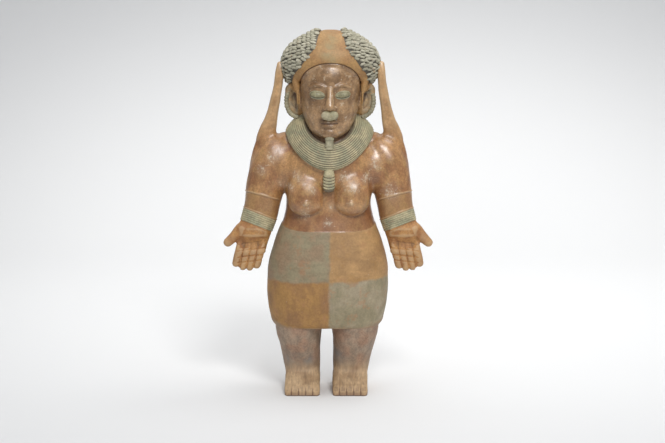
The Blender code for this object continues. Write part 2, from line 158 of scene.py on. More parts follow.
# Rows of a limb: x, y, z, half width, half depth. The right-hand copy is mirrored.
ARM = [
    (59, 9, 341, 19, 19),
    (69, 6, 334, 25, 24),
    (77, 3, 320, 27.5, 26),
    (82, 1, 302, 27.5, 26),
    (86.5, -1, 282, 26.5, 25),
    (90, -4, 262, 24.5, 23.5),
    (93, -6, 248, 24, 21.5),
    (96.5, -8, 236, 23.5, 18.5),
    (99.5, -10, 226, 22.5, 15.5),
    (102, -12, 217, 21.8, 13),
    (104.5, -14, 207, 21.3, 11),
]
CHEST_SIDE = [
    (54, 3, 332, 16, 20),
    (60, 0, 321, 17, 24),
    (63, -2, 308, 15, 24),
    (64, -2, 296, 11, 20),
    (64, -2, 286, 7, 15),
]
THUMB = [
    (108, -12, 234, 10, 10),
    (118, -14, 226, 10, 9),
    (128, -16, 217, 7.6, 7.4),
    (136, -17, 209.5, 6.2, 6.2),
]
FINGER_COUNT = 4
FINGER_PITCH = 9.4
FINGER_ROOT = (103.2, -14, 212)
FINGER_DRIFT = 7.5  # how far a finger moves outward between its root and its tip
FINGER_LENGTHS = (35, 39.5, 40, 37)  # from the outer finger to the inner one
FINGER_RADIUS = 5.8
KNUCKLE_HEIGHTS = (211.0, 202.0, 193.5, 186.0)  # creases across the fingers, at their outer side
KNUCKLE_SLOPE = 0.12
PALM_FRONT = -16.0
PALM_HEEL, PALM_HOLLOW, FINGER_ROOTS = 2.6, 3.0, 1.5  # how far each stands out of the palm or lies in it
STRUT = [
    (67.8, -2, 453, 4.6, 4.8),
    (68, -3, 447, 5.4, 5.6),
    (69, -4, 437, 5.8, 6.2),
    (70.6, -3, 423, 6.2, 6.6),
    (73.6, 0, 406, 6.8, 7),
    (77.1, 3, 389, 7.6, 7.6),
    (80.5, 5, 374, 9.4, 8.4),
    (84.5, 6, 361, 12, 9),
    (88, 5, 349, 13, 9),
]
STRUT_SQUARENESS = 3.4
STRAP_FOOT = (348, 368)  # how high the shoulder's smoothing reaches, inside and outside the strap
MANTLE_EDGE = [
    (90.5, 5, 353, 6.5, 7),
    (97.5, 5, 340, 6, 6.5),
    (102, 5, 322, 5.5, 6),
    (105, 4, 303, 5, 5.5),
    (107.5, 3, 286, 4.5, 5),
    (109, 2, 274, 3, 4),
]

# Collar: a thick flat ring round the neck that dips at the front.
COLLAR_X, COLLAR_FRONT, COLLAR_BACK = 43.4, 43.0, 30.0
COLLAR_Y, COLLAR_Z = 2.0, 367.8
COLLAR_DIP, COLLAR_RISE = 37.5, 14.0
COLLAR_BEND = 1.4  # how sharply the collar turns up on both sides of the dip
COLLAR_HALF_WIDTH, COLLAR_HEIGHT, COLLAR_SEAT = 19.0, 8.5, 15.0
COLLAR_TILTS = (76, 36, 58)  # degrees below the level at the front, the side and the back
COLLAR_SINK = 1.4  # how far the clay bed lies under the combed skin of the collar
COLLAR_RINGS, COLLAR_BED_RINGS = 360, 144
COLLAR_SQUARENESS, COLLAR_BED_SQUARENESS = 2.0, 2.6
COLLAR_PLUMP = 10.6
COLLAR_UNDER = (13.3, 7.5)  # half width and depth of the hidden underside of the combed skin
COMB_LINES = 15
COMB_DEPTH = 1.1
COMB_DRIFT = 0.12  # how much the depth of a ridge changes on its way round, as a share
COMB_FULLNESS = 1.1  # below 1 the ridges are full and the grooves thin
COMB_SIDE_SHARE = 0.45  # how deep the comb lines are beside the neck, as a share of the front
COMB_STEPS = 6

PENDANT = [(0, -43, 312, 6.6, 6), (0, -44, 303, 8, 6.6), (0, -44, 289, 8.2, 6.6)]
PENDANT_SQUARENESS, PENDANT_VOXEL = 2.6, 0.4
NOTCH_HEIGHTS = (304.5, 300.2, 296, 291.8, 288)
NOTCH_WIDTH, NOTCH_DEPTH = 1.5, 1.0
NOTCH_SAG = 1.8  # how much lower a notch runs in the middle of the pendant than at its sides
LABRET_PROFILE = [  # height and radius
    (360, 5.0),
    (357.4, 5.2),
    (356.4, 6.0),
    (354.6, 6.1),
    (353.6, 5.4),
    (348.4, 5.5),
    (347.4, 6.2),
    (345.4, 6.3),
    (344.4, 5.6),
    (342.2, 5.7),
    (341.0, 5.2),
    (340.4, 3.6),
]
LABRET_RINGS, LABRET_SIDES = 70, 48
LABRET_DEPTH, LABRET_SQUARENESS = 0.92, 2.2  # depth as a share of the width
LABRET_LEAN = ([347, 359], [-44.5, -41])  # heights, and how far forward the plug lies at each
BREAST = [
    (27, -23, 315, 16, 8),
    (28.5, -27.5, 299, 22, 13),
    (30, -31.5, 284, 25, 17),
    (30.5, -32.5, 267, 24.5, 18.5),
]
NOSE = [(0, -43.5, 422, 4.6, 4.4), (0, -48, 409, 5.4, 5.2), (0, -51.5, 399, 6.8, 5.8)]
BROW = [(6, -43.5, 425, 2.6, 3), (16, -42, 428.5, 2.8, 3.2), (27, -35.5, 425, 2.6, 3)]

# Ball shapes: x, y, z, then the three radii. All but the middle ones are mirrored.
NIPPLE = (30, -50.5, 268, 3.8, 3.8, 3.8)
EAR = (44, 3, 404, 14.5, 5.5, 21.5)
EAR_CURL = [
    (44, -4, 407, 3.5, 3.5),
    (45.5, -6, 417, 4.4, 4),
    (50, -5, 424, 5, 4.4),
    (55.5, -1, 421, 4.6, 4.2),
    (57, 2, 412, 4, 4),
]
NOSTRIL = (6, -49.5, 397, 4.8, 4.6, 4.2)
NOSE_ORNAMENT = (4.6, -51, 388, 6.9, 7, 6.2)
NOSE_MIDDLE = (0, -50.5, 385.8, 7.4, 6, 5.2)
ORNAMENT_VOXEL, ORNAMENT_SOFTENING = 0.5, 8
EYE = (17, -39, 414.5, 9.6, 7, 6.4)
EYE_HALF_WIDTH, EYE_HALF_HEIGHT = 10.2, 6.0
EYE_LOWER_SHARE = 0.86  # height of the eye's lower half as a share of its upper half
EYE_BORDER = 0.1  # how far the eye's sheet reaches past its rim, where it dips below the face
EYE_TIP = 0.1  # how far the outer corner of the eye lies above the inner one, by its width
BEFORE_FACE = -90.0  # y from which a line is drawn back to the face
EYE_RIM, EYE_LID, EYE_BALL, EYE_DIP = 0.75, 0.95, 0.25, 1.2  # how far each stands out or dips in
UPPER_LIP = (0, -44.5, 379, 13, 5.8, 4)
LOWER_LIP = (0, -44, 373, 11, 6, 3.8)
CHIN = (0, -39.5, 363.5, 12, 8, 9)
CHEEK = (12, -24, 391, 22, 18.5, 19)
EAR_BOWL = 2.6
BAND_STRIP = [
    (47.5, -12, 438, 4, 7),
    (46, -13, 428, 3.4, 6),
    (43.6, -13, 414, 2.8, 5),
    (41.6, -13, 402, 2, 4),
    (40, -13, 393, 1.2, 2.5),
]
EAR_BEADS = 12
EAR_BEAD_RADIUS = 3.5
EAR_BEAD_SIZES = (0.86, 1.0)  # the least and the largest bead, as shares of that radius
EAR_BEAD_TURNS = (36, -86)  # degrees above the level where the row of beads begins and ends
EAR_BEAD_RIM = (44, 0.0, 403, 15.0, 21.5)  # x, y, z, half width and half height of the beaded rim

# Bands on the arms, at a height on the arm's own slope: see arm_height.
WRIST_BAND = (233.0, 250.6)
WRIST_STRANDS = 6
WRIST_RAISE = 0.05
STRAND_DEPTH = 0.55
WRIST_GROOVE = 0.7  # how dark the painted shade in the grooves of the wristbands is, as a share of the collar's
STRAND_STEPS = 6
STRAND_FULLNESS = 0.7  # below 1 the strands are full and the grooves thin
WRIST_SIDES = 160
WRIST_TUCK = 1.5  # how far the edges of the wristband dip into the clay
ARM_SLOPE, ARM_X, ARM_FORWARD = 0.39, 95.0, 0.17
CUFF_LINE = 277.0
CUFF_SLOPE = 0.28

# Hair: raised pads of locks on both sides of the smooth band that runs over the head.
BAND_EDGE = [(431, 50.5), (442, 47), (453, 38), (464, 31), (475, 22), (485, 17.7), (500, 14)]
NAPE_EDGE = [(431, 24), (455, 18), (500, 14)]
HAIR_FOOT = 428.0
HAIR_RAISE = 2.2
HAIR_CENTRE = (0.0, 4.0, 452.0)
HAIR_RADIUS = 58.0
LOCK_ROW, LOCK_PITCH = 6.8, 4.7
LOCK_SIZE = (4.5, 2.35, 2.4)  # half length, half width and half height of one lock
LOCK_SIDES, LOCK_RINGS = 14, 9
LOCK_BLUNTNESS = 3.2  # 2 is an ellipsoid
LOCK_STRANDS, LOCK_SPIRAL = 3, 4.5  # strands twisted together, and how far they turn, in radians
LOCK_WIDTH, LOCK_THICKNESS = (0.86, 0.16), (0.8, 0.25)  # share of the size, and its rise to the tip
LOCK_TILT = math.radians(14)
LOCK_STRAY = 0.13  # how far a lock strays from its place, as a share of the pitch
LOCK_TWIST = 0.22
LOCK_SIZES = (0.82, 1.16)  # the least and the largest lock, as shares of the usual size
LOCK_LIFT = 0.5  # how far the middle of a lock lies above the pad
LOCK_REACH = math.radians(100)  # how far the rows of locks reach from the side of the head
LOCK_COVER = 0.65  # least cover of hair on which a lock stands
BEYOND_HEAD = 110.0  # distance from the middle of the hair from which a line is drawn back to it
LOCK_UPRIGHT = 0.7  # least share of the way out of the pad that a lock's own way out keeps
LOCK_GROOVE = 0.12  # depth of the grooves between a lock's strands, as a share of its width

FACE_ARCH = (415.0, 42.5, 42.0)  # springing height, rise and half width of the hairline arch
FACE_SINK = 1.6
ARCH_GROOVE = 0.9
HEAD_UNEVENNESS = 0.6  # as a share of the body's
MOUTH_DEPTH = 1.1
RIM_HEIGHT, RIM_GROOVE = 0.9, 0.4  # the raised rims on the arms and the grooves beside them
CREASE_DEPTH, GAP_DEPTH, NAIL_DEPTH = 0.6, 0.8, 0.5
WAIST_SIDE, WAIST_DIP = 236.0, 8.0
HEM = 93.0
SKIRT_RAISE = 0.5
QUARTER_X, QUARTER_Z = 2.4, 160.0
QUARTER_SLOPE = 0.025  # how much higher the quarters meet for each unit towards +X
CORNER_RISE = 11.0  # how high the unpainted clay reaches at the lower corners of the skirt
TOE_COUNT = 5
TOE_GROOVE = 0.65
TOE_SPAN = 48.0
# Below this height the gaps between the toes get painted shade.
TOE_TIP_HEIGHT = 12.0

# Screen colours of the paints and clays.
PALETTE = {
    "clay": "ad8254",
    "clay_dark": "94653f",
    "clay_ochre": "b28c57",
    "clay_red": "84563b",
    "clay_pale": "a58a6e",
    "clay_worn": "a97a55",
    # pit_and_shade: near-black brown for the clay's small pits, and for painted shade in the head's
    # creases and between the toes
    "pit_and_shade": "55382a",
    # dirt_and_shade: dark brown for specks of dirt, and for painted shade in hollows, creases, grooves
    # and at the bottom of the feet
    "dirt_and_shade": "4d3b2e",
    "dust": "b9ab94",
    "scuff": "cdbda6",
    "rubbed_edge": "c2a27a",
    "ochre_skin": "aa8555",
    "ochre_skin_dark": "976f4a",
    "palm": "b5854f",
    "palm_dark": "9c6c41",
    "strap": "c49b6c",
    "strap_dark": "a98257",
    "shin": "988470",
    "shin_red": "9a7a63",
    "smudge": "6e6660",
    "soot": "787b7a",
    "foot": "b89b78",
    "foot_dark": "9c7f5f",
    "earth": "85603f",
    "ochre": "a67d48",
    "ochre_dark": "946d46",
    "tan": "b48d5d",
    "tan_dark": "a07c52",
    "grey_brown": "927b60",
    "grey_green": "908569",
    "grey_blue": "a2947b",
    "face": "aa8863",
    "face_dark": "826343",
    "band": "aa8453",
    "band_dark": "9b7345",
    "stain": "97875f",
    "ear": "b0936c",
    "ear_green": "9c9079",
    # hair_bed_shade: painted shade on the bed of the hair between the locks and on the locks' undersides
    "hair_bed_shade": "565045",
    "lock": "98947f",
    "lock_pale": "b9b4a0",
    "collar": "b9ad89",
    "collar_green": "9c9a7c",
    "bead": "a59d82",
    "bead_green": "8c876f",
    "ornament": "b3a98c",
    "ornament_green": "979173",
    "lid": "969070",
    "lid_dark": "807a5e",
    "eye": "5d6453",
    "eye_rim": "aaa486",
}
COAT_ROUGHNESS = 0.27

# Places on the front where the surface is rubbed pale, polished, stained or sooted: x, z and radius.
RUBBED_PLACES = [
    (82.5, 280, 12),
    (31, 290, 10),
    (-21, 286, 7),
    (21, 302, 9),
    (-43, 304, 8),
    (-31, 252, 9),
    (-77, 327, 9),
    (-90, 311, 8),
    (0, 240, 7),
    (4, 262, 6),
    (-52, 290, 7),
    (50, 300, 8),
    (62, 318, 9),
    (-66, 290, 6),
    (30, 268, 5),
    (-30, 268, 5),
]
BURNISHED_PLACES = [(66, 338, 14), (54, 334, 10)]
BURNISHING = 0.8  # how much of the clay's unevenness is polished away there
BAND_STAINS = [(0, 488, 8), (-2, 478, 9), (-5, 469, 8), (3, 462, 6)]
SOOTED_PLACES = [(-50, 38, 16), (-24, 44, 9), (14, 50, 12)]

PAPER_FRONT, PAPER_BEND = -2.4, 1.0  # y where the paper begins and where it starts to bend up
PAPER_RADIUS, PAPER_TOP, PAPER_HALF_WIDTH = 0.9, 3.5, 4.0
PAPER_MIDDLE = (0.12, 1.1, 0.03)  # the palest place of the studio paper, from which a painted falloff of light darkens it
PAPER_SHARES = (1, 0.8, 2.4)  # how fast the paper darkens along each axis
PAPER_FADE = (0.35, 1.65)  # how far from there it begins and ends to darken
PAPER_PALE = (0.96, 0.96, 0.955, 1)
PAPER_DARK = (0.58, 0.583, 0.588, 1)
# Lamps: name, place, where it is turned to, width, power and whether it lights the gloss alone.
LAMPS = [
    ("key", (0.5, -2.0, 2.1), (0, 0, 0.25), 0.8, 42, False),
    ("side", (0.85, 0.35, 2.1), (0, 0, 0.25), 0.8, 8, False),
    ("top", (-0.1, 0.3, 2.3), (0, 0, 0), 2.4, 25, False),
    ("glint", (-0.2, -1.6, 2.3), (0, 0, 0.33), 0.4, 12, True),
]
SKY_COLOUR, SKY_STRENGTH = (0.95, 0.97, 1.0, 1), 0.36
LENS, SENSOR = 100.0, 36.0
LOOK_AT = Vector((0.006, 0.0, 0.235))
CAMERA_DISTANCE, CAMERA_RISE = 2.55, math.radians(9)


def placed_matrix():
    """Design units to metres in the frame: scaled, leaned and stood over the origin."""
    shape = Matrix.Diagonal((BREADTH * UNIT, BREADTH * UNIT, TALLNESS * UNIT, 1))
    shape[0][2] = LEAN * UNIT
    return Matrix.Translation((-MIDDLE[0], -MIDDLE[1], 0)) @ shape


PLACED = placed_matrix()


def resampled(rows, places, steps):
    """Rows of numbers read off a smooth curve through the given ones, at evenly spaced places."""
    rows, places = np.array(rows, float), np.array(places, float)
    slopes = np.gradient(rows, places, axis=0)
    wanted = np.linspace(places[0], places[-1], steps)
    i = np.clip(np.searchsorted(places, wanted, side="right") - 1, 0, len(places) - 2)
    gap = (places[i + 1] - places[i])[:, None]
    t = ((wanted - places[i])[:, None]) / gap
    start = rows[i] * (2 * t**3 - 3 * t**2 + 1) + slopes[i] * gap * (t**3 - 2 * t**2 + t)
    end = rows[i + 1] * (3 * t**2 - 2 * t**3) + slopes[i + 1] * gap * (t**3 - t**2)
    return start + end


def object_from(name, bm):
    """A new object, in design units, from a bmesh."""
    bmesh.ops.recalc_face_normals(bm, faces=bm.faces)
    mesh = bpy.data.meshes.new(name)
    bm.to_mesh(mesh)
    bm.free()
    return linked(name, mesh)


def linked(name, data):
    """A new object of the scene with this mesh, lamp or camera."""
    made = bpy.data.objects.new(name, data)
    bpy.context.scene.collection.objects.link(made)
    return made


def mesh_object(name, points, faces):
    """A new object, in design units, from points and faces."""
    mesh = bpy.data.meshes.new(name)
    mesh.from_pydata(points.reshape(-1, 3).tolist(), [], faces)
    return linked(name, mesh)


def bridge(bm, lower, upper):
    """Joins two rings of equally many corners by a belt of faces."""
    for i in range(len(lower)):
        j = (i + 1) % len(lower)
        bm.faces.new((lower[i], lower[j], upper[j], upper[i]))


def corners(bm, rings):
    return [[bm.verts.new(point) for point in ring] for ring in rings]


def skin(bm, rings):
    """Adds a closed tube through rings of equally many points, with a flat face at each end."""
    rings = corners(bm, rings)
    for lower, upper in zip(rings, rings[1:]):
        bridge(bm, lower, upper)
    bm.faces.new(rings[0][::-1])
    bm.faces.new(rings[-1])


def closed_ring(bm, rings):
    """Adds a tube through rings of equally many points, with its last ring joined to its first."""
    rings = corners(bm, rings)
    for here, ahead in zip(rings, rings[1:] + rings[:1]):
        bridge(bm, here, ahead)


def oval(half_width, half_depth, squareness=2.0, sides=RING_SIDES):
    """Points of a level superellipse about the origin, as two arrays."""
    angle = np.linspace(0, 2 * math.pi, sides, endpoint=False)
    c, s = np.cos(angle), np.sin(angle)
    power = 2 / squareness
    return (
        half_width * np.sign(c) * np.abs(c) ** power,
        half_depth * np.sign(s) * np.abs(s) ** power,
    )


def column(bm, rows, centres=None):
    """Adds an upright form from rows of height, half width, front y, back y and squareness."""
    heights = [row[0] for row in rows]
    steps = max(6, round((heights[-1] - heights[0]) / RING_PITCH))
    rings = []
    for z, half_width, front, back, squareness in resampled(rows, heights, steps):
        x, y = oval(half_width, (back - front) / 2, squareness)
        middle = 0.0 if centres is None else np.interp(z, *zip(*centres))
        rings.append([(a + middle, b + (front + back) / 2, z) for a, b in zip(x, y)])
    skin(bm, rings)


def limb(bm, rows, side=1, squareness=2.0, sides=RING_SIDES // 2):
    """Adds a tube along rows of x, y, z, half width and half depth, with domed ends."""
    rows = np.array(rows, float)
    lengths = np.linalg.norm(np.diff(rows[:, :3], axis=0), axis=1)
    places = np.concatenate([[0], np.cumsum(lengths)])
    rows = resampled(rows, places, max(5, round(places[-1] / LIMB_PITCH)))
    ways = np.gradient(rows[:, :3], axis=0)
    ways /= np.linalg.norm(ways, axis=1)[:, None]
    turns = np.radians(DOME_TURNS)
    head = [domed(rows[0], -ways[0], turn) for turn in turns[::-1]]
    tail = [domed(rows[-1], ways[-1], turn) for turn in turns]
    rows = np.concatenate([head, rows, tail])
    ways = np.concatenate([[ways[0]] * len(turns), ways, [ways[-1]] * len(turns)])
    rings = []
    for (x, y, z, half_width, half_depth), way in zip(rows, ways):
        across = np.cross(way, (0, 1, 0))
        across /= np.linalg.norm(across)
        depth = np.cross(way, across)
        a, b = oval(half_width, half_depth, squareness, sides)
        ring = np.outer(a, across) + np.outer(b, depth) + (x, y, z)
        rings.append(ring * (side, 1, 1))
    skin(bm, rings)


def domed(row, way, turn):
    """One row of a limb's domed end, a turn of up to a quarter past its last full row."""
    reach = min(row[3], row[4]) * math.sin(turn)
    return np.concatenate([row[:3] + way * reach, row[3:] * math.cos(turn)])


def ball(bm, place, side=1, segments=40):
    """Adds an ellipsoid from x, y, z and its three radii."""
    x, y, z, *radii = place
    matrix = Matrix.Translation((side * x, y, z)) @ Matrix.Diagonal((*radii, 1))
    bmesh.ops.create_uvsphere(
        bm, u_segments=segments, v_segments=segments // 2, radius=1.0, matrix=matrix
    )


def add_foot(bm, side):
    places = [row[0] for row in FOOT]
    rings = []
    for y, half_width, top in resampled(FOOT, places, 40):
        x, z = oval(half_width, (top + SOLE_DEPTH) / 2, 4.0)
        middle = (top - SOLE_DEPTH) / 2
        rings.append([(side * FOOT_X + a, y, b + middle) for a, b in zip(x, z)])
    skin(bm, rings)


def add_hand(bm, side):
    """The thumb and the four fingers. The palm is the end of the arm."""
    limb(bm, THUMB, side)
    x, y, z = FINGER_ROOT
    for i, length in enumerate(FINGER_LENGTHS):
        root = x + (FINGER_COUNT / 2 - 0.5 - i) * FINGER_PITCH
        rows = [
            (root, y, z, FINGER_RADIUS, FINGER_RADIUS),
            (root + 0.35 * FINGER_DRIFT, y - 7, z - 0.36 * length, FINGER_RADIUS, FINGER_RADIUS),
            (root + FINGER_DRIFT, y - 8, z - length + 4, 0.94 * FINGER_RADIUS, 0.94 * FINGER_RADIUS),
        ]
        limb(bm, rows, side)


def collar_frame(turn):
    """Centre, outward-down width axis and outer normal of the collar, a turn from its front."""
    turn = np.asarray(turn, float)
    forward, sideways = np.cos(turn), np.sin(turn)
    ahead = forward > 0
    reach = np.where(ahead, COLLAR_FRONT, COLLAR_BACK)
    bend = np.abs(forward) ** COLLAR_BEND
    z = COLLAR_Z + np.where(ahead, -COLLAR_DIP, COLLAR_RISE) * bend
    centre = np.stack([COLLAR_X * sideways, COLLAR_Y - reach * forward, z], -1)
    out = np.stack([sideways / COLLAR_X, -forward / reach, np.zeros_like(forward)], -1)
    out /= np.linalg.norm(out, axis=-1)[..., None]
    front, side, back = COLLAR_TILTS
    share = np.abs(forward)
    tilt = np.radians(side + np.where(ahead, front - side, back - side) * share)[..., None]
    up = np.array([0, 0, 1.0])
    return centre, out * np.cos(tilt) - up * np.sin(tilt), out * np.sin(tilt) + up * np.cos(tilt)


def collar_bed(bm):
    """The clay bed of the collar, a little thinner than its combed skin."""
    loops = []
    turns = np.linspace(0, 2 * math.pi, COLLAR_BED_RINGS, endpoint=False)
    for centre, width, normal in zip(*collar_frame(turns)):
        a, b = oval(COLLAR_HALF_WIDTH - COLLAR_SINK, 1, COLLAR_BED_SQUARENESS)
        b = np.where(b > 0, COLLAR_HEIGHT - COLLAR_SINK, COLLAR_SEAT) * b
        loops.append(centre + np.outer(a, width) + np.outer(b, normal))
    closed_ring(bm, loops)


def applied(obj):
    """Replaces the object's mesh with the one that its modifiers make."""
    graph = bpy.context.evaluated_depsgraph_get()
    made = bpy.data.meshes.new_from_object(obj.evaluated_get(graph))
    obj.modifiers.clear()
    obj.data = made


def patches(x, y, z, places):
    """From 0 to 1 near the places on the front that a list names by x, z and radius."""
    found = np.zeros(len(x))
    for place_x, place_z, radius in places:
        found = np.maximum(found, np.exp(-((x - place_x) ** 2 + (z - place_z) ** 2) / radius**2))
    return found * ramp(-y, -5, 5)


def unevenness(points, share=1.0):
    """The slight waviness that fingers leave on hand-built clay, in design units."""
    rng = np.random.default_rng(SEED)
    out = np.zeros(len(points))
    for wavelength, height in RIPPLES:
        for _ in range(3):
            ways = rng.normal(size=(2, 3))
            ways *= 2 * math.pi / wavelength / np.linalg.norm(ways, axis=1)[:, None]
            shifts = rng.uniform(0, 2 * math.pi, 2)
            out += height * np.sin(points @ ways[0] + shifts[0]) * np.sin(points @ ways[1] + shifts[1])
    return out * share


def softening(steps, voxel):
    """How many smoothing steps soften a skin of this voxel as much as steps do on the solid."""
    return round(steps * (SOLID_VOXEL / voxel) ** 2)


def fused(obj, voxel):
    """Joins the overlapping shapes of an object into one skin."""
    remesh = obj.modifiers.new("fuse", "REMESH")
    remesh.mode = "VOXEL"
    remesh.voxel_size = voxel
    remesh.adaptivity = 0.0
    applied(obj)


def softened(obj, steps, weights=None):
    """Smooths the skin everywhere, or by a weight from 0 to 1 for each point."""
    smooth = obj.modifiers.new("soften", "SMOOTH")
    smooth.iterations = steps
    if weights is not None:
        smooth.vertex_group = weighted_group(obj, "soft", weights)
    applied(obj)
    obj.vertex_groups.clear()


def weighted_group(obj, name, weights):
    """Adds a vertex group with these weights and returns its name."""
    group = obj.vertex_groups.new(name=name)
    for i in np.flatnonzero(weights > LEAST_WEIGHT):
        group.add([int(i)], float(weights[i]), "REPLACE")
    return group.name


def thin_out(obj, triangles, fine):
    """Brings the skin down to a number of triangles, and keeps it dense where fine is 1."""
    obj.data.calc_loop_triangles()
    decimate = obj.modifiers.new("thin_out", "DECIMATE")
    decimate.ratio = min(1.0, triangles / len(obj.data.loop_triangles))
    decimate.vertex_group = weighted_group(obj, "fine", fine)
    decimate.invert_vertex_group = True
    decimate.vertex_group_factor = FINE_WEIGHT
    applied(obj)
    obj.vertex_groups.clear()


def skin_numbers(obj, name):
    """Three numbers for each point of the skin: its place or its normal."""
    numbers = np.empty(len(obj.data.vertices) * 3, np.float32)
    obj.data.vertices.foreach_get(name, numbers)
    return numbers.reshape(-1, 3).astype(float)


def skin_points(obj):
    return skin_numbers(obj, "co")


def skin_normals(obj):
    return skin_numbers(obj, "normal")


def raise_skin(obj, heights):
    """Moves each point of the skin along its normal by its height, in design units."""
    points = skin_points(obj) + skin_normals(obj) * heights[:, None]
    obj.data.vertices.foreach_set("co", points.astype(np.float32).ravel())
    obj.data.update()


def note(obj, name, values):
    """Keeps one number for each point of the skin, for the materials to read."""
    layer = obj.data.attributes.new(name, "FLOAT", "POINT")
    layer.data.foreach_set("value", np.asarray(values, np.float32))


def hollows(obj, steps):
    """How far each point lies below the skin round it, in design units."""
    edges = np.empty(len(obj.data.edges) * 2, np.int32)
    obj.data.edges.foreach_get("vertices", edges)
    one, two = edges.reshape(-1, 2).T
    points = skin_points(obj)
    count = len(points)
    share = 1 / np.maximum(1, np.bincount(one, minlength=count) + np.bincount(two, minlength=count))
    mean = points.copy()
    for _ in range(steps):
        total = np.empty_like(mean)
        for axis in range(3):
            total[:, axis] = np.bincount(one, mean[two, axis], count)
            total[:, axis] += np.bincount(two, mean[one, axis], count)
        mean = total * share[:, None]
    return ((mean - points) * skin_normals(obj)).sum(1)


def ramp(value, low, high):
    """0 below low, 1 above high and a smooth step between them."""
    t = np.clip((value - low) / (high - low), 0, 1)
    return t * t * (3 - 2 * t)


def within(value, begin, full, fade, end):
    """0 outside begin and end, 1 from full to fade and a smooth step on both sides."""
    return ramp(value, begin, full) * ramp(end - value, 0, end - fade)


def ridge(value, width):
    """1 at 0, falling smoothly to 0 at this width on both sides."""
    return ramp(width - np.abs(value), 0, width)


def band_edge(y, z):
    """Half width of the smooth band over the head, at the front or at the nape."""
    front = np.interp(z, *zip(*BAND_EDGE))
    nape = np.interp(z, *zip(*NAPE_EDGE))
    return front + (nape - front) * ramp(y, -6, 16)


def hair_cover(x, y, z):
    """1 on the two pads of hair and 0 elsewhere."""
    reach = np.abs(x)
    return ramp(reach - band_edge(y, z), 0, 2.0) * ramp(z, HAIR_FOOT - 2, HAIR_FOOT + 1)


def face_side(x, z):
    """Below 0 inside the hairline arch and above 0 outside it."""
    spring, rise, half_width = FACE_ARCH
    up = np.clip((z - spring) / rise, 0, None)
    return (np.abs(x) / half_width) ** 2.2 + up**2.6 - 1


def collar_cover(x, y, z):
    """1 on the collar and 0 elsewhere."""
    reach = np.where(y < COLLAR_Y, COLLAR_FRONT, COLLAR_BACK)
    centre, width, normal = collar_frame(np.arctan2(x / COLLAR_X, (COLLAR_Y - y) / reach))
    away = np.stack([x, y, z], -1) - centre
    across = np.abs((away * width).sum(-1))
    on_band = ramp(COLLAR_HALF_WIDTH + 4 - across, 0, 4)
    return on_band * ramp((away * normal).sum(-1), -2, 1)


def shoulder_cover(x, y, z):
    """1 from the shoulders down to the armpits, beside the collar, and 0 elsewhere."""
    top = STRAP_FOOT[0] + (STRAP_FOOT[1] - STRAP_FOOT[0]) * ramp(np.abs(x), 64, 76)
    beside = ramp(np.abs(x), 38, 50) * ramp(z, 245, 262) * ramp(top - z, -5, 5)
    return beside * (1 - collar_cover(x, y, z))


def ankle_cover(z):
    """1 where the shin runs into the foot and 0 elsewhere."""
    return within(z, 20, 30, 42, 54)


def breast_top(x, y, z):
    """1 where the breasts run into the chest above them and 0 elsewhere."""
    on_chest = within(z, 292, 306, 328, 336) * ramp(-y, 16, 24)
    return on_chest * ramp(58 - np.abs(x), 0, 6) * (1 - collar_cover(x, y, z))


def cheek_cover(x, y, z):
    """1 on the cheeks and 0 elsewhere."""
    beside_mouth = ramp(np.abs(x), 13, 20) * ramp(-y, 6, 14)
    return beside_mouth * within(z, 364, 374, 400, 408)


def arm_height(x, y, z, slope=ARM_SLOPE):
    """Height along the sloping forearm, level with z where the arm's axis crosses ARM_X."""
    return z - slope * (np.abs(x) - ARM_X) + ARM_FORWARD * (y + 25)


def on_torso(x, z):
    """1 on the trunk and 0 on the arms and hands beside it."""
    girth = np.interp(z, [row[0] for row in TORSO], [row[1] for row in TORSO])
    return ramp(girth + 4 - np.abs(x), 0, 1)


def waist_height(y):
    return WAIST_SIDE - WAIST_DIP * ramp(-y, 0, 45)


def toe_place(x):
    """How many toes lie between the inner side of the foot and x."""
    return ((np.abs(x) - FOOT_X) / TOE_SPAN + 0.5) * TOE_COUNT


def toe_lines(x, y, z):
    """1 along the lines between the toes and 0 elsewhere."""
    place = toe_place(x)
    from_line = np.abs(place - np.round(place))
    between = ramp(place, 0.4, 0.6) * ramp(TOE_COUNT - place, 0.4, 0.6)
    return ridge(from_line, 0.16) * between * ramp(-y, 20, 26) * ramp(27 - z, 0, 6)


def toe_nails(x, y, z):
    """1 on the flat nail near the tip of each toe and 0 elsewhere."""
    place = toe_place(x)
    across = np.abs(place - np.floor(place) - 0.5)
    on_toe = ramp(0.34 - across, 0, 0.08) * ramp(place, 0, 0.1) * ramp(TOE_COUNT - place, 0, 0.1)
    return on_toe * ramp(-y, 42, 44) * within(z, 6, 7, 11.5, 12.5)


def finger_creases(x, y, z):
    """From 0 to 1 in the creases across the fingers, on the side of the palm."""
    level = z + KNUCKLE_SLOPE * (np.abs(x) - ARM_X)
    lines = sum(ridge(level - height, 1.6) for height in KNUCKLE_HEIGHTS)
    beside_thumb = ramp(124 - np.abs(x), 0, 3)
    return lines * beside_thumb * ramp(PALM_FRONT - y, 0, 3) * ramp(np.abs(x), 78, 80)


def finger_gaps(x, z):
    """From 0 to 1 in the grooves between the fingers."""
    root_x, _, root_z = FINGER_ROOT
    drift = FINGER_DRIFT * np.clip((root_z - z) / max(FINGER_LENGTHS), 0, 1)
    place = (np.abs(x) - root_x - drift) / FINGER_PITCH
    from_line = np.abs(place - np.round(place)) * FINGER_PITCH
    between = ramp(1.5 - np.abs(place), 0, 0.1)
    return ridge(from_line, 1.7) * between * ramp(root_z - z, -2, 6) * ramp(np.abs(x), 78, 80)


def palm_pads(x, y, z):
    """The heel of the palm stands out above its hollow, and the roots of the fingers below it."""
    palm = ramp(PALM_FRONT + 4 - y, 0, 4) * ramp(np.abs(x), 80, 86)
    across = ramp(124 - np.abs(x), 0, 8)
    heel = PALM_HEEL * within(z, 215, 221, 228, 236)
    hollow = PALM_HOLLOW * ridge(z - 209, 9) * ramp(np.abs(x), 86, 94)
    roots = FINGER_ROOTS * ridge(z - 198, 6)
    return palm * across * (heel - hollow + roots)


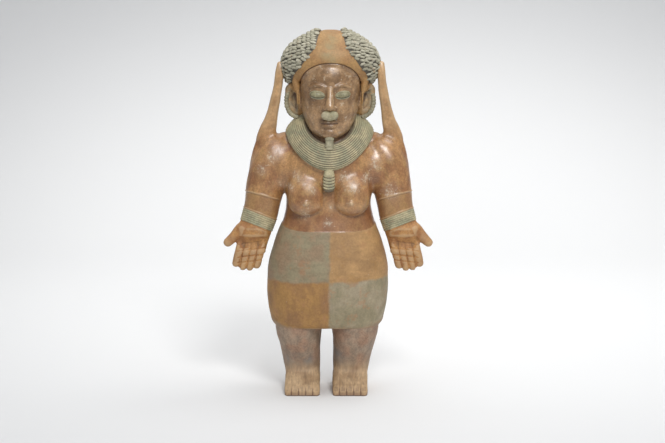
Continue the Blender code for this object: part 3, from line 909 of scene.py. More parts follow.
def body_relief(points):
    """How far the fine skin of the body stands out at each point, in design units."""
    x, y, z = points.T
    trunk = on_torso(x, z)
    out = SKIRT_RAISE * ramp(waist_height(y) - z, -1, 1) * ramp(z, HEM - 2, HEM + 2) * trunk
    cuff = arm_height(x, y, z, CUFF_SLOPE) - CUFF_LINE
    arm = (1 - trunk) * ramp(np.abs(x), 66, 70)
    out += arm * (RIM_HEIGHT * ridge(cuff - 1.2, 1.9) - RIM_GROOVE * ridge(cuff + 0.9, 1.2))
    low, high = WRIST_BAND
    height = arm_height(x, y, z)
    out += arm * RIM_HEIGHT * ridge(height - high - 1.6, 1.8)
    out -= arm * RIM_GROOVE * ridge(height - low + 1.2, 1.4)
    out += palm_pads(x, y, z)
    out -= CREASE_DEPTH * finger_creases(x, y, z)
    out -= GAP_DEPTH * finger_gaps(x, z)
    out -= NAIL_DEPTH * toe_nails(x, y, z)
    out += unevenness(points) * (1 - BURNISHING * patches(x, y, z, BURNISHED_PLACES))
    return out - TOE_GROOVE * toe_lines(x, y, z)


def head_relief(points):
    """How far the fine skin of the head stands out at each point, in design units."""
    x, y, z = points.T
    hair = hair_cover(x, y, z)
    on_head = ramp(z, 392, 400) * ramp(-y, 8, 14)
    side = face_side(x, z)
    out = HAIR_RAISE * hair
    out += FACE_SINK * on_head * ramp(side, 0, 0.05) * (1 - hair)
    out -= ARCH_GROOVE * on_head * ridge(side + 0.02, 0.06) * (1 - hair)
    ear_x, _, ear_z, ear_width, _, ear_height = EAR
    from_middle = np.hypot((np.abs(x) - ear_x - 1) / ear_width, (z - ear_z) / ear_height)
    on_ear = ramp(np.abs(x), ear_x - 1, ear_x + 2) * ramp(2 - y, 0, 2)
    out -= EAR_BOWL * on_ear * ramp(0.72 - from_middle, 0, 0.25)
    out += unevenness(points, HEAD_UNEVENNESS) * (1 - hair)
    mouth = z - 376.2 - 0.006 * x**2
    return out - MOUTH_DEPTH * ridge(mouth, 1.5) * ramp(12.5 - np.abs(x), 0, 3) * ramp(-y, 38, 40)


def body_blocks():
    """The forms of the body, arms, straps, legs and feet as overlapping closed shapes."""
    bm = bmesh.new()
    column(bm, TORSO)
    column(bm, NECK)
    collar_bed(bm)
    for side in (-1, 1):
        column(bm, LEG, [(z, side * x) for z, x in LEG_CENTRES])
        add_foot(bm, side)
        limb(bm, ARM, side)
        limb(bm, CHEST_SIDE, side)
        add_hand(bm, side)
        limb(bm, STRUT, side, STRUT_SQUARENESS)
        limb(bm, MANTLE_EDGE, side)
        limb(bm, BREAST, side)
        ball(bm, NIPPLE, side)
    return object_from("clay_body", bm)


def head_blocks():
    """The forms of the head, face and ears as overlapping closed shapes."""
    bm = bmesh.new()
    column(bm, NECK)
    column(bm, HEAD)
    column(bm, HEADDRESS)
    limb(bm, NOSE)
    for place in (UPPER_LIP, LOWER_LIP, CHIN):
        ball(bm, place)
    for side in (-1, 1):
        limb(bm, BROW, side)
        ball(bm, CHEEK, side)
        ball(bm, EYE, side)
        ball(bm, NOSTRIL, side)
        ball(bm, EAR, side)
        limb(bm, EAR_CURL, side)
        limb(bm, BAND_STRIP, side)
    return object_from("clay_head", bm)


def cut_soles(obj):
    """Cuts the skin flat at the ground and closes it there."""
    bm = bmesh.new()
    bm.from_mesh(obj.data)
    geometry = bm.verts[:] + bm.edges[:] + bm.faces[:]
    cut = bmesh.ops.bisect_plane(
        bm, geom=geometry, plane_co=(0, 0, 0), plane_no=(0, 0, 1), clear_inner=True
    )
    rims = [item for item in cut["geom_cut"] if isinstance(item, bmesh.types.BMEdge)]
    bmesh.ops.holes_fill(bm, edges=rims)
    bm.to_mesh(obj.data)
    bm.free()


def smooth_shaded(obj):
    obj.data.polygons.foreach_set("use_smooth", [True] * len(obj.data.polygons))


def finished(obj, material):
    """Puts a piece in its place, in its material and on the figure's body."""
    smooth_shaded(obj)
    obj.data.materials.clear()
    obj.data.materials.append(material)
    obj.data.transform(PLACED)
    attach(obj, "root")
    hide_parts("standing_figure")


def make_body():
    body = body_blocks()
    fused(body, BODY_VOXEL)
    x, y, z = skin_points(body).T
    weights = np.maximum(shoulder_cover(x, y, z), breast_top(x, y, z))
    weights = np.maximum(weights, ankle_cover(z))
    softened(body, softening(SHOULDER_STEPS, BODY_VOXEL), weights)
    softened(body, softening(SOFTEN_STEPS, BODY_VOXEL))
    raise_skin(body, body_relief(skin_points(body)))
    note(body, "hollow", hollows(body, BODY_HOLLOWS))
    note(body, "crease", hollows(body, BODY_CREASES))
    x, y, z = skin_points(body).T
    fingers_and_toes = np.maximum((z < 20) & (y < -30), (np.abs(x) > 80) & (z < 222))
    thin_out(body, BODY_TRIANGLES, fingers_and_toes.astype(float))
    cut_soles(body)
    x, y, z = skin_points(body).T
    skirt = np.minimum(waist_height(y) - z, z - HEM)
    note(body, "skirt", np.where(on_torso(x, z) > 0.5, skirt, -5.0))
    note(body, "right_half", x - QUARTER_X)
    note(body, "upper_half", z - QUARTER_Z - QUARTER_SLOPE * x)
    note(body, "corner", CORNER_RISE * (np.abs(x) / 76) ** 5 - (z - HEM))
    note(body, "leg", np.where(on_torso(x, z) > 0.5, HEM - z, -5.0))
    arm = (1 - on_torso(x, z)) * ramp(np.abs(x), 62, 70)
    note(body, "hand", np.where(arm > 0.5, WRIST_BAND[0] - arm_height(x, y, z), -5.0))
    note(body, "forearm", np.where(arm > 0.5, CUFF_LINE - arm_height(x, y, z, CUFF_SLOPE), -5.0))
    note(body, "strap", ramp(z, 352, 372) * ramp(np.abs(x), 58, 64))
    note(body, "worn", patches(x, y, z, RUBBED_PLACES))
    note(body, "burnished", patches(x, y, z, BURNISHED_PLACES))
    note(body, "smudge", patches(x, y, z, SOOTED_PLACES))
    # Where painted shade darkens the gaps between the toes.
    note(body, "toe_gap_shade", toe_lines(x, y, z) * ramp(TOE_TIP_HEIGHT - z, 0, 4))
    note(body, "height", z)
    return body


def make_head():
    head = head_blocks()
    fused(head, HEAD_VOXEL)
    cheeks = cheek_cover(*skin_points(head).T)
    softened(head, softening(CHEEK_STEPS, HEAD_VOXEL), cheeks)
    softened(head, softening(SOFTEN_STEPS, HEAD_VOXEL))
    raise_skin(head, head_relief(skin_points(head)))
    note(head, "hollow", hollows(head, HEAD_HOLLOWS))
    note(head, "crease", hollows(head, HEAD_CREASES))
    x, y, z = skin_points(head).T
    face = ramp(-y, 12, 20) * ramp(z, 350, 356) * (1 - hair_cover(x, y, z))
    thin_out(head, HEAD_TRIANGLES, face)
    x, y, z = skin_points(head).T
    arch = face_side(x, z) + 0.2 * ramp(np.abs(x), 39.5, 42)
    note(head, "arch", np.where(y < -6, arch, 1.0) * 20)
    note(head, "hair", hair_cover(x, y, z))
    note(head, "ear", ramp(np.abs(x), 42, 45) * ramp(428 - z, 0, 4) * ramp(y, -9, -6))
    note(head, "stain", patches(x, y, z, BAND_STAINS))
    return head


def tree_of(obj):
    """The skin as a tree for finding where a straight line meets it."""
    mesh = obj.data
    points = [tuple(v.co) for v in mesh.vertices]
    faces = [tuple(p.vertices) for p in mesh.polygons]
    return BVHTree.FromPolygons(points, faces)


def met(tree, start, way):
    """The point and outward normal where a line from start first meets the skin, or None."""
    point, normal, _, _ = tree.ray_cast(Vector(start), Vector(way))
    if point is None:
        return None
    return np.array(point), np.array(normal)


def lock_form():
    """Points and faces of one lock: a blunt twisted tongue that lifts towards its free end."""
    bm = bmesh.new()
    bmesh.ops.create_uvsphere(bm, u_segments=LOCK_SIDES, v_segments=LOCK_RINGS, radius=1.0)
    turn = Matrix.Rotation(math.radians(90), 4, "Y")
    bmesh.ops.transform(bm, matrix=turn, verts=bm.verts)
    points = np.array([v.co for v in bm.verts])
    faces = [[v.index for v in f.verts] for f in bm.faces]
    bm.free()
    along = points[:, 0].copy()
    around = np.arctan2(points[:, 2], points[:, 1])
    blunt = np.sqrt((1 - np.abs(along) ** LOCK_BLUNTNESS) / np.maximum(1 - along**2, 0.05))
    strands = 1 + LOCK_GROOVE * np.cos(LOCK_STRANDS * around + LOCK_SPIRAL * along)
    points[:, 1] *= blunt * strands * (LOCK_WIDTH[0] + LOCK_WIDTH[1] * along)
    points[:, 2] *= blunt * strands * (LOCK_THICKNESS[0] + LOCK_THICKNESS[1] * along)
    return points * LOCK_SIZE, faces


def lock_places(tree, side, rng):
    """Where the locks of one pad lie: each one's centre, way along it and way out of the skin."""
    centre = np.array(HAIR_CENTRE)
    places = []
    rows = int(HAIR_RADIUS * LOCK_REACH / LOCK_ROW)
    for row in range(rows):
        polar = (row + 0.4) * LOCK_ROW / HAIR_RADIUS
        count = max(4, round(2 * math.pi * HAIR_RADIUS * math.sin(polar) / LOCK_PITCH))
        for k in range(count):
            turn = (k + 0.5 * (row % 2) + rng.normal(0, LOCK_STRAY)) * 2 * math.pi / count
            tipped = polar + rng.normal(0, LOCK_STRAY) * LOCK_ROW / HAIR_RADIUS
            ring = np.array([0.0, -math.cos(turn), math.sin(turn)]) * math.sin(tipped)
            out = ring + (side * math.cos(tipped), 0, 0)
            hit = met(tree, centre + out * BEYOND_HEAD, -out)
            if hit is None:
                continue
            point, normal = hit
            if hair_cover(*point) < LOCK_COVER or normal @ out < LOCK_UPRIGHT:
                continue
            to_pole = np.array([side * math.sin(tipped), 0, 0]) - ring * math.cos(tipped)
            places.append((point, to_pole, normal))
    return places


def make_hair(tree, side, name):
    """One pad of overlapping locks that run from the band to the side of the head."""
    rng = np.random.default_rng(SEED + side)
    form, faces = lock_form()
    points, polygons, shades, tips = [], [], [], []
    for place, along, out in lock_places(tree, side, rng):
        along = along - out * (along @ out)
        along /= np.linalg.norm(along)
        across = np.cross(out, along)
        twist = rng.normal(0, LOCK_TWIST)
        along, across = (
            along * math.cos(twist) + across * math.sin(twist),
            across * math.cos(twist) - along * math.sin(twist),
        )
        lifted = along * math.cos(LOCK_TILT) + out * math.sin(LOCK_TILT)
        raised = out * math.cos(LOCK_TILT) - along * math.sin(LOCK_TILT)
        size = rng.uniform(*LOCK_SIZES, 3)
        base = len(points) * len(form)
        local = form * size
        block = place + out * LOCK_LIFT + local @ np.array([lifted, across, raised])
        points.append(block)
        polygons += [[i + base for i in face] for face in faces]
        shades.append(np.full(len(form), rng.random()))
        tips.append(form[:, 2] / LOCK_SIZE[2])
    made = mesh_object(name, np.concatenate(points), polygons)
    note(made, "shade", np.concatenate(shades))
    note(made, "tip", np.concatenate(tips))
    return made


def grid_object(name, points, closed_rows=False, kept=None):
    """A sheet through a grid of points, with its rows closed into rings or cut to the kept points."""
    rows, columns = points.shape[:2]
    faces = []
    for i in range(rows - 1):
        for j in range(columns if closed_rows else columns - 1):
            k = (j + 1) % columns
            if kept is None or kept[i : i + 2, (j, k)].all():
                here, above = i * columns, (i + 1) * columns
                faces.append((here + j, here + k, above + k, above + j))
    return mesh_object(name, points, faces)


def comb_share(turn):
    """How deep the comb lines are at a turn round the collar: full in front, worn beside the neck."""
    return COMB_SIDE_SHARE + (1 - COMB_SIDE_SHARE) * ramp(np.cos(turn), 0.0, 0.7)


def comb_profile():
    """Points across the collar's skin, the way out of it, the ridges' heights and each point's ridge."""
    sweep = np.linspace(math.pi * 1.02, -math.pi * 0.02, COMB_LINES * COMB_STEPS)
    c, s = np.cos(sweep), np.sin(sweep)
    across = COLLAR_HALF_WIDTH * np.sign(c) * np.abs(c) ** (2 / COLLAR_SQUARENESS)
    rise = COLLAR_PLUMP * np.sign(s) * np.abs(s) ** (2 / COLLAR_SQUARENESS)
    length = np.concatenate([[0], np.cumsum(np.hypot(np.diff(across), np.diff(rise)))])
    place = COMB_LINES * length / length[-1]
    slope = np.gradient(np.stack([across, rise], -1), axis=0)
    slope /= np.linalg.norm(slope, axis=1)[:, None]
    away = np.stack([-slope[:, 1], slope[:, 0]], -1)
    heights = np.abs(np.sin(math.pi * place)) ** COMB_FULLNESS
    return np.stack([across, rise], -1), away, heights, np.minimum(place.astype(int), COMB_LINES - 1)


def make_collar():
    """The combed skin of the collar: fine ridges that run round it side by side."""
    turns = np.linspace(0, 2 * math.pi, COLLAR_RINGS, endpoint=False)
    profile, away, comb, line = comb_profile()
    phases = np.random.default_rng(SEED).uniform(0, 2 * math.pi, (3, COMB_LINES))
    half, depth = COLLAR_UNDER
    under = [(half, -depth), (-half, -depth)]
    rings = []
    for turn, centre, width, normal in zip(turns, *collar_frame(turns)):
        drift = sum(np.sin(turn * (3 + 4 * k) + phases[k, line]) for k in range(3)) / 3
        lift = COMB_DEPTH * comb_share(turn) * (comb - 1) * (1 + COMB_DRIFT * drift)
        section = np.concatenate([profile + away * lift[:, None], under])
        rings.append(centre + np.outer(section[:, 0], width) + np.outer(section[:, 1], normal))
    bm = bmesh.new()
    closed_ring(bm, rings)
    made = object_from("combed_collar", bm)
    # Painted shade in the comb's grooves, and along the collar's inner edge where the jaw shades it.
    inner = ramp(-profile[:, 0] / COLLAR_HALF_WIDTH, 0.75, 0.98)
    grooves = np.maximum(np.outer(comb_share(turns), 1 - comb), inner)
    grooves = np.pad(grooves, ((0, 0), (0, len(under))), constant_values=1)
    note(made, "groove", grooves.ravel())
    return made


def arm_axis(height):
    """Middle of the forearm at a height of its own slope."""
    rows = np.array(ARM, float)
    heights = arm_height(rows[:, 0], rows[:, 1], rows[:, 2])
    order = np.argsort(heights)
    return [np.interp(height, heights[order], rows[order, k]) for k in range(3)]


def make_wristband(tree, side, name):
    """Fine cords laid side by side round the wrist, on the clay of the forearm."""
    low, high = WRIST_BAND
    steps = WRIST_STRANDS * STRAND_STEPS + 1
    shares = np.clip(np.arange(-1, steps + 1) / (steps - 1), 0, 1)
    strands = np.abs(np.sin(math.pi * WRIST_STRANDS * shares)) ** STRAND_FULLNESS
    lifts = WRIST_RAISE + STRAND_DEPTH * strands
    lifts[[0, -1]] = -WRIST_TUCK
    rng = np.random.default_rng(SEED + 3 * side)
    waves = rng.uniform(0, 2 * math.pi, (2, WRIST_STRANDS))[:, 0]
    loops = []
    for share, lift in zip(shares, lifts):
        x, y, z = arm_axis(low + (high - low) * share)
        ring = []
        for turn in np.linspace(0, 2 * math.pi, WRIST_SIDES, endpoint=False):
            way = np.array([math.cos(turn), math.sin(turn), ARM_SLOPE * math.cos(turn)])
            way[2] -= ARM_FORWARD * math.sin(turn)
            point = met(tree, (side * x, y, z), way * (side, 1, 1))[0] * (side, 1, 1)
            wave = math.sin(turn * 5 + waves[0]) + math.sin(turn * 13 + waves[1])
            out = way / np.linalg.norm(way)
            point = point + out * (lift + 0.03 * wave) + (0, 0, 0.08 * wave)
            ring.append(point * (side, 1, 1))
        loops.append(ring)
    made = grid_object(name, np.array(loops), closed_rows=True)
    # Painted shade in the grooves between the strands.
    note(made, "groove", WRIST_GROOVE * np.repeat(1 - strands, WRIST_SIDES))
    return made


def pendant_notches(x, z):
    """From 0 to 1 in the sagging notches across the pendant."""
    level = z + NOTCH_SAG * (1 - (x / PENDANT[-1][3]) ** 2)
    return sum(ridge(level - height, NOTCH_WIDTH) for height in NOTCH_HEIGHTS)


def make_pendant():
    """The bar that hangs from the collar: a plain cap, notches below it and a dark tip."""
    bm = bmesh.new()
    limb(bm, PENDANT, squareness=PENDANT_SQUARENESS)
    made = object_from("pendant_bar", bm)
    fused(made, PENDANT_VOXEL)
    softened(made, SOFTEN_STEPS)
    x, _, z = skin_points(made).T
    notches = pendant_notches(x, z)
    raise_skin(made, -NOTCH_DEPTH * notches)
    # Painted shade in the notches; below the last notch the bar is darkened as well.
    note(made, "groove", np.maximum(0.8 * notches, ramp(NOTCH_HEIGHTS[-1] - z, 0, 2)))
    return made


def make_labret():
    """The ringed plug below the lower lip."""
    bm = bmesh.new()
    rings = []
    for z, radius in resampled(LABRET_PROFILE, np.arange(len(LABRET_PROFILE)), LABRET_RINGS):
        y = np.interp(z, *LABRET_LEAN)
        a, b = oval(radius, radius * LABRET_DEPTH, LABRET_SQUARENESS, LABRET_SIDES)
        rings.append(np.stack([a, b + y, np.full(len(a), z)], -1))
    skin(bm, rings)
    return object_from("chin_plug", bm)


def make_nose_ornament():
    """Two joined lobes that hang from the nose."""
    bm = bmesh.new()
    for side in (-1, 1):
        ball(bm, NOSE_ORNAMENT, side)
    ball(bm, NOSE_MIDDLE)
    made = object_from("nose_ornament", bm)
    fused(made, ORNAMENT_VOXEL)
    softened(made, ORNAMENT_SOFTENING)
    return made


def make_ear_beads():
    """Small round beads along the rims of both ears."""
    bm = bmesh.new()
    rng = np.random.default_rng(SEED)
    x, y, z, half_width, half_height = EAR_BEAD_RIM
    for side in (-1, 1):
        for turn in np.radians(np.linspace(*EAR_BEAD_TURNS, EAR_BEADS)):
            size = EAR_BEAD_RADIUS * rng.uniform(*EAR_BEAD_SIZES)
            place = (x + half_width * math.cos(turn), y, z + half_height * math.sin(turn))
            ball(bm, (*place, size, size, size), side, 16)
    return object_from("ear_beads", bm)


def eye_relief(u, v):
    """How far each point of an eye is inside its rim, above its lid's edge and out of the face."""
    height = np.sqrt(np.clip(1 - np.abs(u) ** 2.4, 0, 1)) * np.where(v > 0, 1, EYE_LOWER_SHARE)
    inside = np.where(np.abs(u) < 1, height - np.abs(v), 1 - np.abs(u))
    lid_line = -0.12 - 0.42 * (1 - u**2) - v
    lift = EYE_RIM * ridge(inside - 0.05, 0.17)
    lift += EYE_LID * ramp(inside, 0.12, 0.5) * ramp(-lid_line, -0.04, 0.04)
    lift += EYE_BALL * ramp(inside, 0.1, 0.3) * ramp(lid_line, -0.04, 0.04)
    return inside, lid_line, lift - EYE_DIP * ramp(-inside, -0.02, 0.09)


def make_eyes(tree):
    """Half-closed eyes laid on the face: a raised rim, a heavy lid and the eye below it."""
    u, v = np.meshgrid(np.linspace(-1.12, 1.12, 90), np.linspace(-1.2, 1.2, 60))
    inside, lid_line, lift = eye_relief(u, v)
    x = EYE[0] + u * EYE_HALF_WIDTH
    z = EYE[2] + v * EYE_HALF_HEIGHT + EYE_TIP * u * EYE_HALF_WIDTH
    eyes = []
    for side in (-1, 1):
        points = np.empty((*u.shape, 3))
        for i in np.ndindex(u.shape):
            points[i] = met(tree, (side * x[i], BEFORE_FACE, z[i]), (0, 1, 0))[0]
        points[..., 1] -= lift
        made = grid_object("eye", points, kept=inside > -EYE_BORDER)
        note(made, "inside", inside.ravel())
        note(made, "lid_line", lid_line.ravel())
        eyes.append(made)
    return eyes


def paint(name):
    """Linear colour from the palette's six-digit screen code."""
    code = PALETTE[name]
    parts = [int(code[i : i + 2], 16) / 255 for i in (0, 2, 4)]
    linear = [((c + 0.055) / 1.055) ** 2.4 if c > 0.04045 else c / 12.92 for c in parts]
    return (*linear, 1.0)


class Finish:
    """A material's node tree, with one short call for each kind of node."""

    def __init__(self, name):
        self.material = bpy.data.materials.new(name)
        self.material.use_nodes = True
        self.tree = self.material.node_tree
        self.surface = self.tree.nodes["Principled BSDF"]
        self.place = self.tree.nodes.new("ShaderNodeTexCoord").outputs["Object"]

    def put(self, socket, value):
        if isinstance(value, bpy.types.NodeSocket):
            self.tree.links.new(value, socket)
        else:
            socket.default_value = value

    def node(self, kind, inputs, **settings):
        made = self.tree.nodes.new(kind)
        for key, value in settings.items():
            setattr(made, key, value)
        for key, value in inputs.items():
            self.put(made.inputs[key], value)
        return made

    def math(self, operation, a, b=0.0, c=0.0):
        return self.node("ShaderNodeMath", {0: a, 1: b, 2: c}, operation=operation).outputs[0]

    def vector(self, operation, inputs):
        return self.node("ShaderNodeVectorMath", inputs, operation=operation)

    def noise(self, scale, detail=3.0, stretch=(1, 1, 1), roughness=0.55):
        """Cloudy values about 0.5. Scale is in waves for each metre."""
        sized = self.node("ShaderNodeMapping", {"Vector": self.place, "Scale": stretch})
        inputs = {
            "Vector": sized.outputs[0],
            "Scale": scale,
            "Detail": detail,
            "Roughness": roughness,
        }
        return self.node("ShaderNodeTexNoise", inputs).outputs["Fac"]

    def value(self, name):
        """A number kept on the skin."""
        return self.node("ShaderNodeAttribute", {}, attribute_name=name).outputs["Fac"]

    def step(self, value, low, high, start=0.0, end=1.0):
        inputs = {"Value": value, "From Min": low, "From Max": high, "To Min": start, "To Max": end}
        return self.node("ShaderNodeMapRange", inputs, interpolation_type="SMOOTHSTEP").outputs[0]

    def mix(self, share, a, b):
        made = self.node("ShaderNodeMix", {0: share, 6: a, 7: b}, data_type="RGBA")
        return made.outputs[2]

    def blend(self, share, a, b):
        """Share of the way from the number a to the number b."""
        return self.node("ShaderNodeMix", {0: share, 2: a, 3: b}, data_type="FLOAT").outputs[0]

    def clouded(self, scale, one, other, detail=4.0, stretch=(1, 1, 1)):
        """Two colours of the palette in soft patches."""
        share = self.step(self.noise(scale, detail, stretch), 0.38, 0.64)
        return self.mix(share, paint(one), paint(other))

    def mottled(self, colour, scale, strength, stretch=(1, 1, 1), detail=4.0):
        """The colour made lighter and darker, by up to strength, in patches of one size."""
        share = self.step(self.noise(scale, detail, stretch), 0.36, 0.64, 1 - strength, 1 + strength)
        return self.vector("SCALE", {0: colour, "Scale": share}).outputs[0]

    def specked(self, colour, name, scale, share, density=0.62, stretch=(1, 1, 1), detail=7.0):
        """The colour with small hard-edged specks of another from the palette."""
        specks = self.step(self.noise(scale, detail, stretch, 0.7), density, density + 0.06, 0, share)
        return self.mix(specks, colour, paint(name))

    def zone(self, name, width=0.7, sway=3.0, scale=170.0):
        """1 where the number kept on the skin is above 0, along an edge that a brush left."""
        wobble = self.math("SUBTRACT", self.noise(scale, 4.0), 0.5)
        return self.step(self.math("MULTIPLY_ADD", wobble, sway, self.value(name)), -width, width)

    def bump(self, height, distance, strength=1.0):
        inputs = {"Height": height, "Distance": distance, "Strength": strength}
        return self.node("ShaderNodeBump", inputs).outputs["Normal"]

    def done(self, colour, roughness, normal, coat=None):
        self.put(self.surface.inputs["Base Color"], colour)
        self.put(self.surface.inputs["Roughness"], roughness)
        self.put(self.surface.inputs["Normal"], normal)
        if coat is not None:
            self.put(self.surface.inputs["Coat Weight"], coat)
            self.surface.inputs["Coat Roughness"].default_value = COAT_ROUGHNESS
        return self.material


def burnished_clay(f):
    """Colour of polished red-brown clay: clouds, burnishing strokes and small pits."""
    colour = f.clouded(30, "clay_dark", "clay", 5.0)
    colour = f.mix(f.step(f.noise(70, 5.0), 0.5, 0.66, 0, 0.55), colour, paint("clay_ochre"))
    colour = f.mottled(colour, 130, 0.13, (1, 1, 0.4))
    colour = f.mottled(colour, 420, 0.14)
    colour = f.specked(colour, "clay_red", 90, 0.5, 0.58)
    return f.specked(colour, "pit_and_shade", 330, 0.45, 0.64)


def grained(f, depth):
    """Fine grain, soft strokes and pits of fired clay, as a surface direction."""
    grain = f.noise(1100, 3.0)
    strokes = f.noise(300, 3.0, (1, 1, 0.35))
    pits = f.step(f.noise(330, 7.0, roughness=0.7), 0.7, 0.62)
    height = f.math("MULTIPLY_ADD", strokes, 0.6, f.math("MULTIPLY_ADD", pits, 0.7, grain))
    return f.bump(height, depth, 0.6)


def painted_quarter(f, one, other, speck, strokes):
    """Matt paint, brushed on thinly so that other colours show through."""
    colour = f.clouded(34, one, other, 5.0)
    colour = f.mottled(colour, 110, 0.07, strokes)
    colour = f.mottled(colour, 360, 0.07)
    return f.specked(colour, speck, 60, 0.4, 0.54)


def skirt_colour(f):
    """Four quarters of paint with worn, ragged edges between them."""
    level, upright = (0.35, 0.35, 1.4), (1.3, 1.3, 0.4)
    grey_up = painted_quarter(f, "grey_brown", "grey_green", "clay_pale", level)
    ochre_up = painted_quarter(f, "tan", "tan_dark", "ochre", level)
    ochre_low = painted_quarter(f, "ochre", "ochre_dark", "earth", upright)
    grey_low = painted_quarter(f, "grey_green", "grey_blue", "clay_worn", upright)
    right, upper = f.zone("right_half", 2.6, 7.0, 60), f.zone("upper_half", 2.6, 7.0, 60)
    low = f.mix(right, ochre_low, grey_low)
    high = f.mix(right, grey_up, ochre_up)
    skirt = f.mix(upper, low, high)
    skirt = f.mix(f.zone("corner", 3.0, 4.0), skirt, paint("grey_brown"))
    skirt = f.specked(skirt, "clay_worn", 40, 0.35, 0.56)
    skirt = f.specked(skirt, "earth", 300, 0.25, 0.62)
    return f.specked(skirt, "dust", 260, 0.2, 0.64)


def leg_colour(f):
    """Greyed shins with dark smudges, and paler feet with long scratches."""
    shin = f.clouded(40, "shin", "shin_red", 5.0)
    shin = f.mottled(shin, 130, 0.13, (1, 1, 0.5))
    shin = f.mottled(shin, 420, 0.12)
    shin = f.specked(shin, "smudge", 55, 0.22, 0.55)
    soot = f.math("MULTIPLY", f.value("smudge"), f.step(f.noise(60, 6.0), 0.3, 0.7, 0.1, 0.85))
    shin = f.mix(soot, shin, paint("soot"))
    foot = f.clouded(50, "foot", "foot_dark")
    foot = f.mottled(foot, 420, 0.15, (1, 0.3, 0.16))
    foot = f.mottled(foot, 110, 0.06)
    foot = f.mix(f.step(f.value("height"), 9, 1, 0, 0.5), foot, paint("shin_red"))
    # Painted shade in the gaps between the toes, near their tips.
    foot = f.mix(f.math("MULTIPLY", f.value("toe_gap_shade"), 0.75), foot, paint("pit_and_shade"))
    return f.mix(f.step(f.value("height"), 22, 50), foot, shin)


def body_finish():
    """Burnished trunk and arms, matt painted skirt, greyed legs, painted shade in the hollows and
    creases.
    """
    f = Finish("burnished_body")
    colour = burnished_clay(f)
    # The belly below the breasts is darker red-brown: partly its own clay colour, partly painted shade
    # under the breasts.
    belly = f.step(f.value("height"), 268, 246, 0, 0.4)
    colour = f.mix(belly, colour, paint("clay_red"))
    forearm = f.mottled(f.clouded(60, "ochre_skin", "ochre_skin_dark"), 380, 0.13)
    colour = f.mix(f.math("MULTIPLY", f.zone("forearm"), 0.75), colour, forearm)
    palm = f.mottled(f.clouded(80, "palm", "palm_dark"), 380, 0.12)
    hand = f.zone("hand")
    colour = f.mix(hand, colour, palm)
    strap = f.mottled(f.clouded(60, "strap", "strap_dark", 5.0), 300, 0.12)
    strap = f.specked(strap, "grey_green", 60, 0.4, 0.6)
    colour = f.mix(f.value("strap"), colour, strap)
    leg = f.zone("leg", 0.8)
    colour = f.mix(leg, colour, leg_colour(f))
    on_skirt = f.zone("skirt", 0.6, 2.5)
    colour = f.mix(on_skirt, colour, skirt_colour(f))

    colour = f.mix(f.math("MULTIPLY", f.value("worn"), 0.2), colour, paint("scuff"))
    rubbed = f.math("MULTIPLY_ADD", f.value("worn"), 0.16, f.noise(240, 9.0, roughness=0.75))
    colour = f.mix(f.step(rubbed, 0.62, 0.72, 0, 0.7), colour, paint("scuff"))
    # Painted shade darkens the broad hollows.
    colour = f.mix(f.step(f.value("hollow"), 0.4, 2.4, 0, 0.6), colour, paint("dirt_and_shade"))
    # Painted shade darkens the creases, more faintly on the hands and legs.
    faint_shade = f.math("MAXIMUM", hand, leg)
    crease = f.value("crease")
    crease_shade = f.blend(faint_shade, f.step(crease, 0.08, 0.5, 0, 0.4), f.step(crease, 0.2, 0.8, 0, 0.2))
    colour = f.mix(crease_shade, colour, paint("dirt_and_shade"))
    colour = f.mix(f.step(crease, -0.05, -0.25, 0, 0.6), colour, paint("rubbed_edge"))
    # Painted contact shadow: a thin dark band at the bottom of the feet, where they stand on the floor.
    colour = f.mix(f.step(f.value("height"), 2.2, 0.4, 0, 0.8), colour, paint("dirt_and_shade"))

    matt = f.math("MAXIMUM", on_skirt, f.math("MAXIMUM", leg, hand))
    gloss_broken = f.noise(120, 7.0, roughness=0.7)
    polished = f.blend(f.value("burnished"), f.step(gloss_broken, 0.36, 0.66, 0.3, 0.5), 0.24)
    roughness = f.blend(matt, polished, 0.66)
    coated = f.blend(f.value("burnished"), f.step(gloss_broken, 0.7, 0.4, 0.1, 0.5), 0.9)
    coat = f.blend(matt, coated, 0.02)
    return f.done(colour, roughness, grained(f, 0.00014), coat)


def head_finish():
    """Dark glossy face, ochre band, tan ears, and painted shade on the bed of the hair and in the
    hollows and creases.
    """
    f = Finish("burnished_head")
    band_share = f.zone("arch", 0.4, 1.2)
    face = f.clouded(55, "face_dark", "face", 5.0)
    face = f.mottled(face, 140, 0.14)
    face = f.mottled(face, 450, 0.13)
    face = f.specked(face, "scuff", 150, 0.5, 0.58)
    face = f.specked(face, "pit_and_shade", 260, 0.5, 0.63)
    band = f.mottled(f.clouded(50, "band", "band_dark"), 380, 0.12)
    band = f.specked(band, "earth", 180, 0.3, 0.62)
    stained = f.math("MULTIPLY", f.value("stain"), f.step(f.noise(130, 6.0), 0.34, 0.6, 0.1, 0.75))
    band = f.mix(stained, band, paint("stain"))
    colour = f.mix(band_share, face, band)
    ear = f.mottled(f.clouded(90, "ear", "ear_green"), 380, 0.14)
    colour = f.mix(f.value("ear"), colour, ear)
    # Painted shade on the bed of the hair, seen between the locks.
    hair = f.step(f.value("hair"), 0.2, 0.8)
    colour = f.mix(hair, colour, paint("hair_bed_shade"))
    # Painted shade darkens the hollows and the creases of the head.
    colour = f.mix(f.step(f.value("hollow"), 0.4, 2.2, 0, 0.55), colour, paint("dirt_and_shade"))
    colour = f.mix(f.step(f.value("crease"), 0.05, 0.35, 0, 0.65), colour, paint("pit_and_shade"))
    matt = f.math("MAXIMUM", f.math("MAXIMUM", band_share, hair), f.value("ear"))
    gloss_broken = f.noise(150, 7.0, roughness=0.7)
    roughness = f.blend(matt, f.step(gloss_broken, 0.36, 0.66, 0.28, 0.5), 0.6)
    coat = f.blend(matt, f.step(gloss_broken, 0.7, 0.4, 0.1, 0.5), 0.03)
    return f.done(colour, roughness, grained(f, 0.00012), coat)


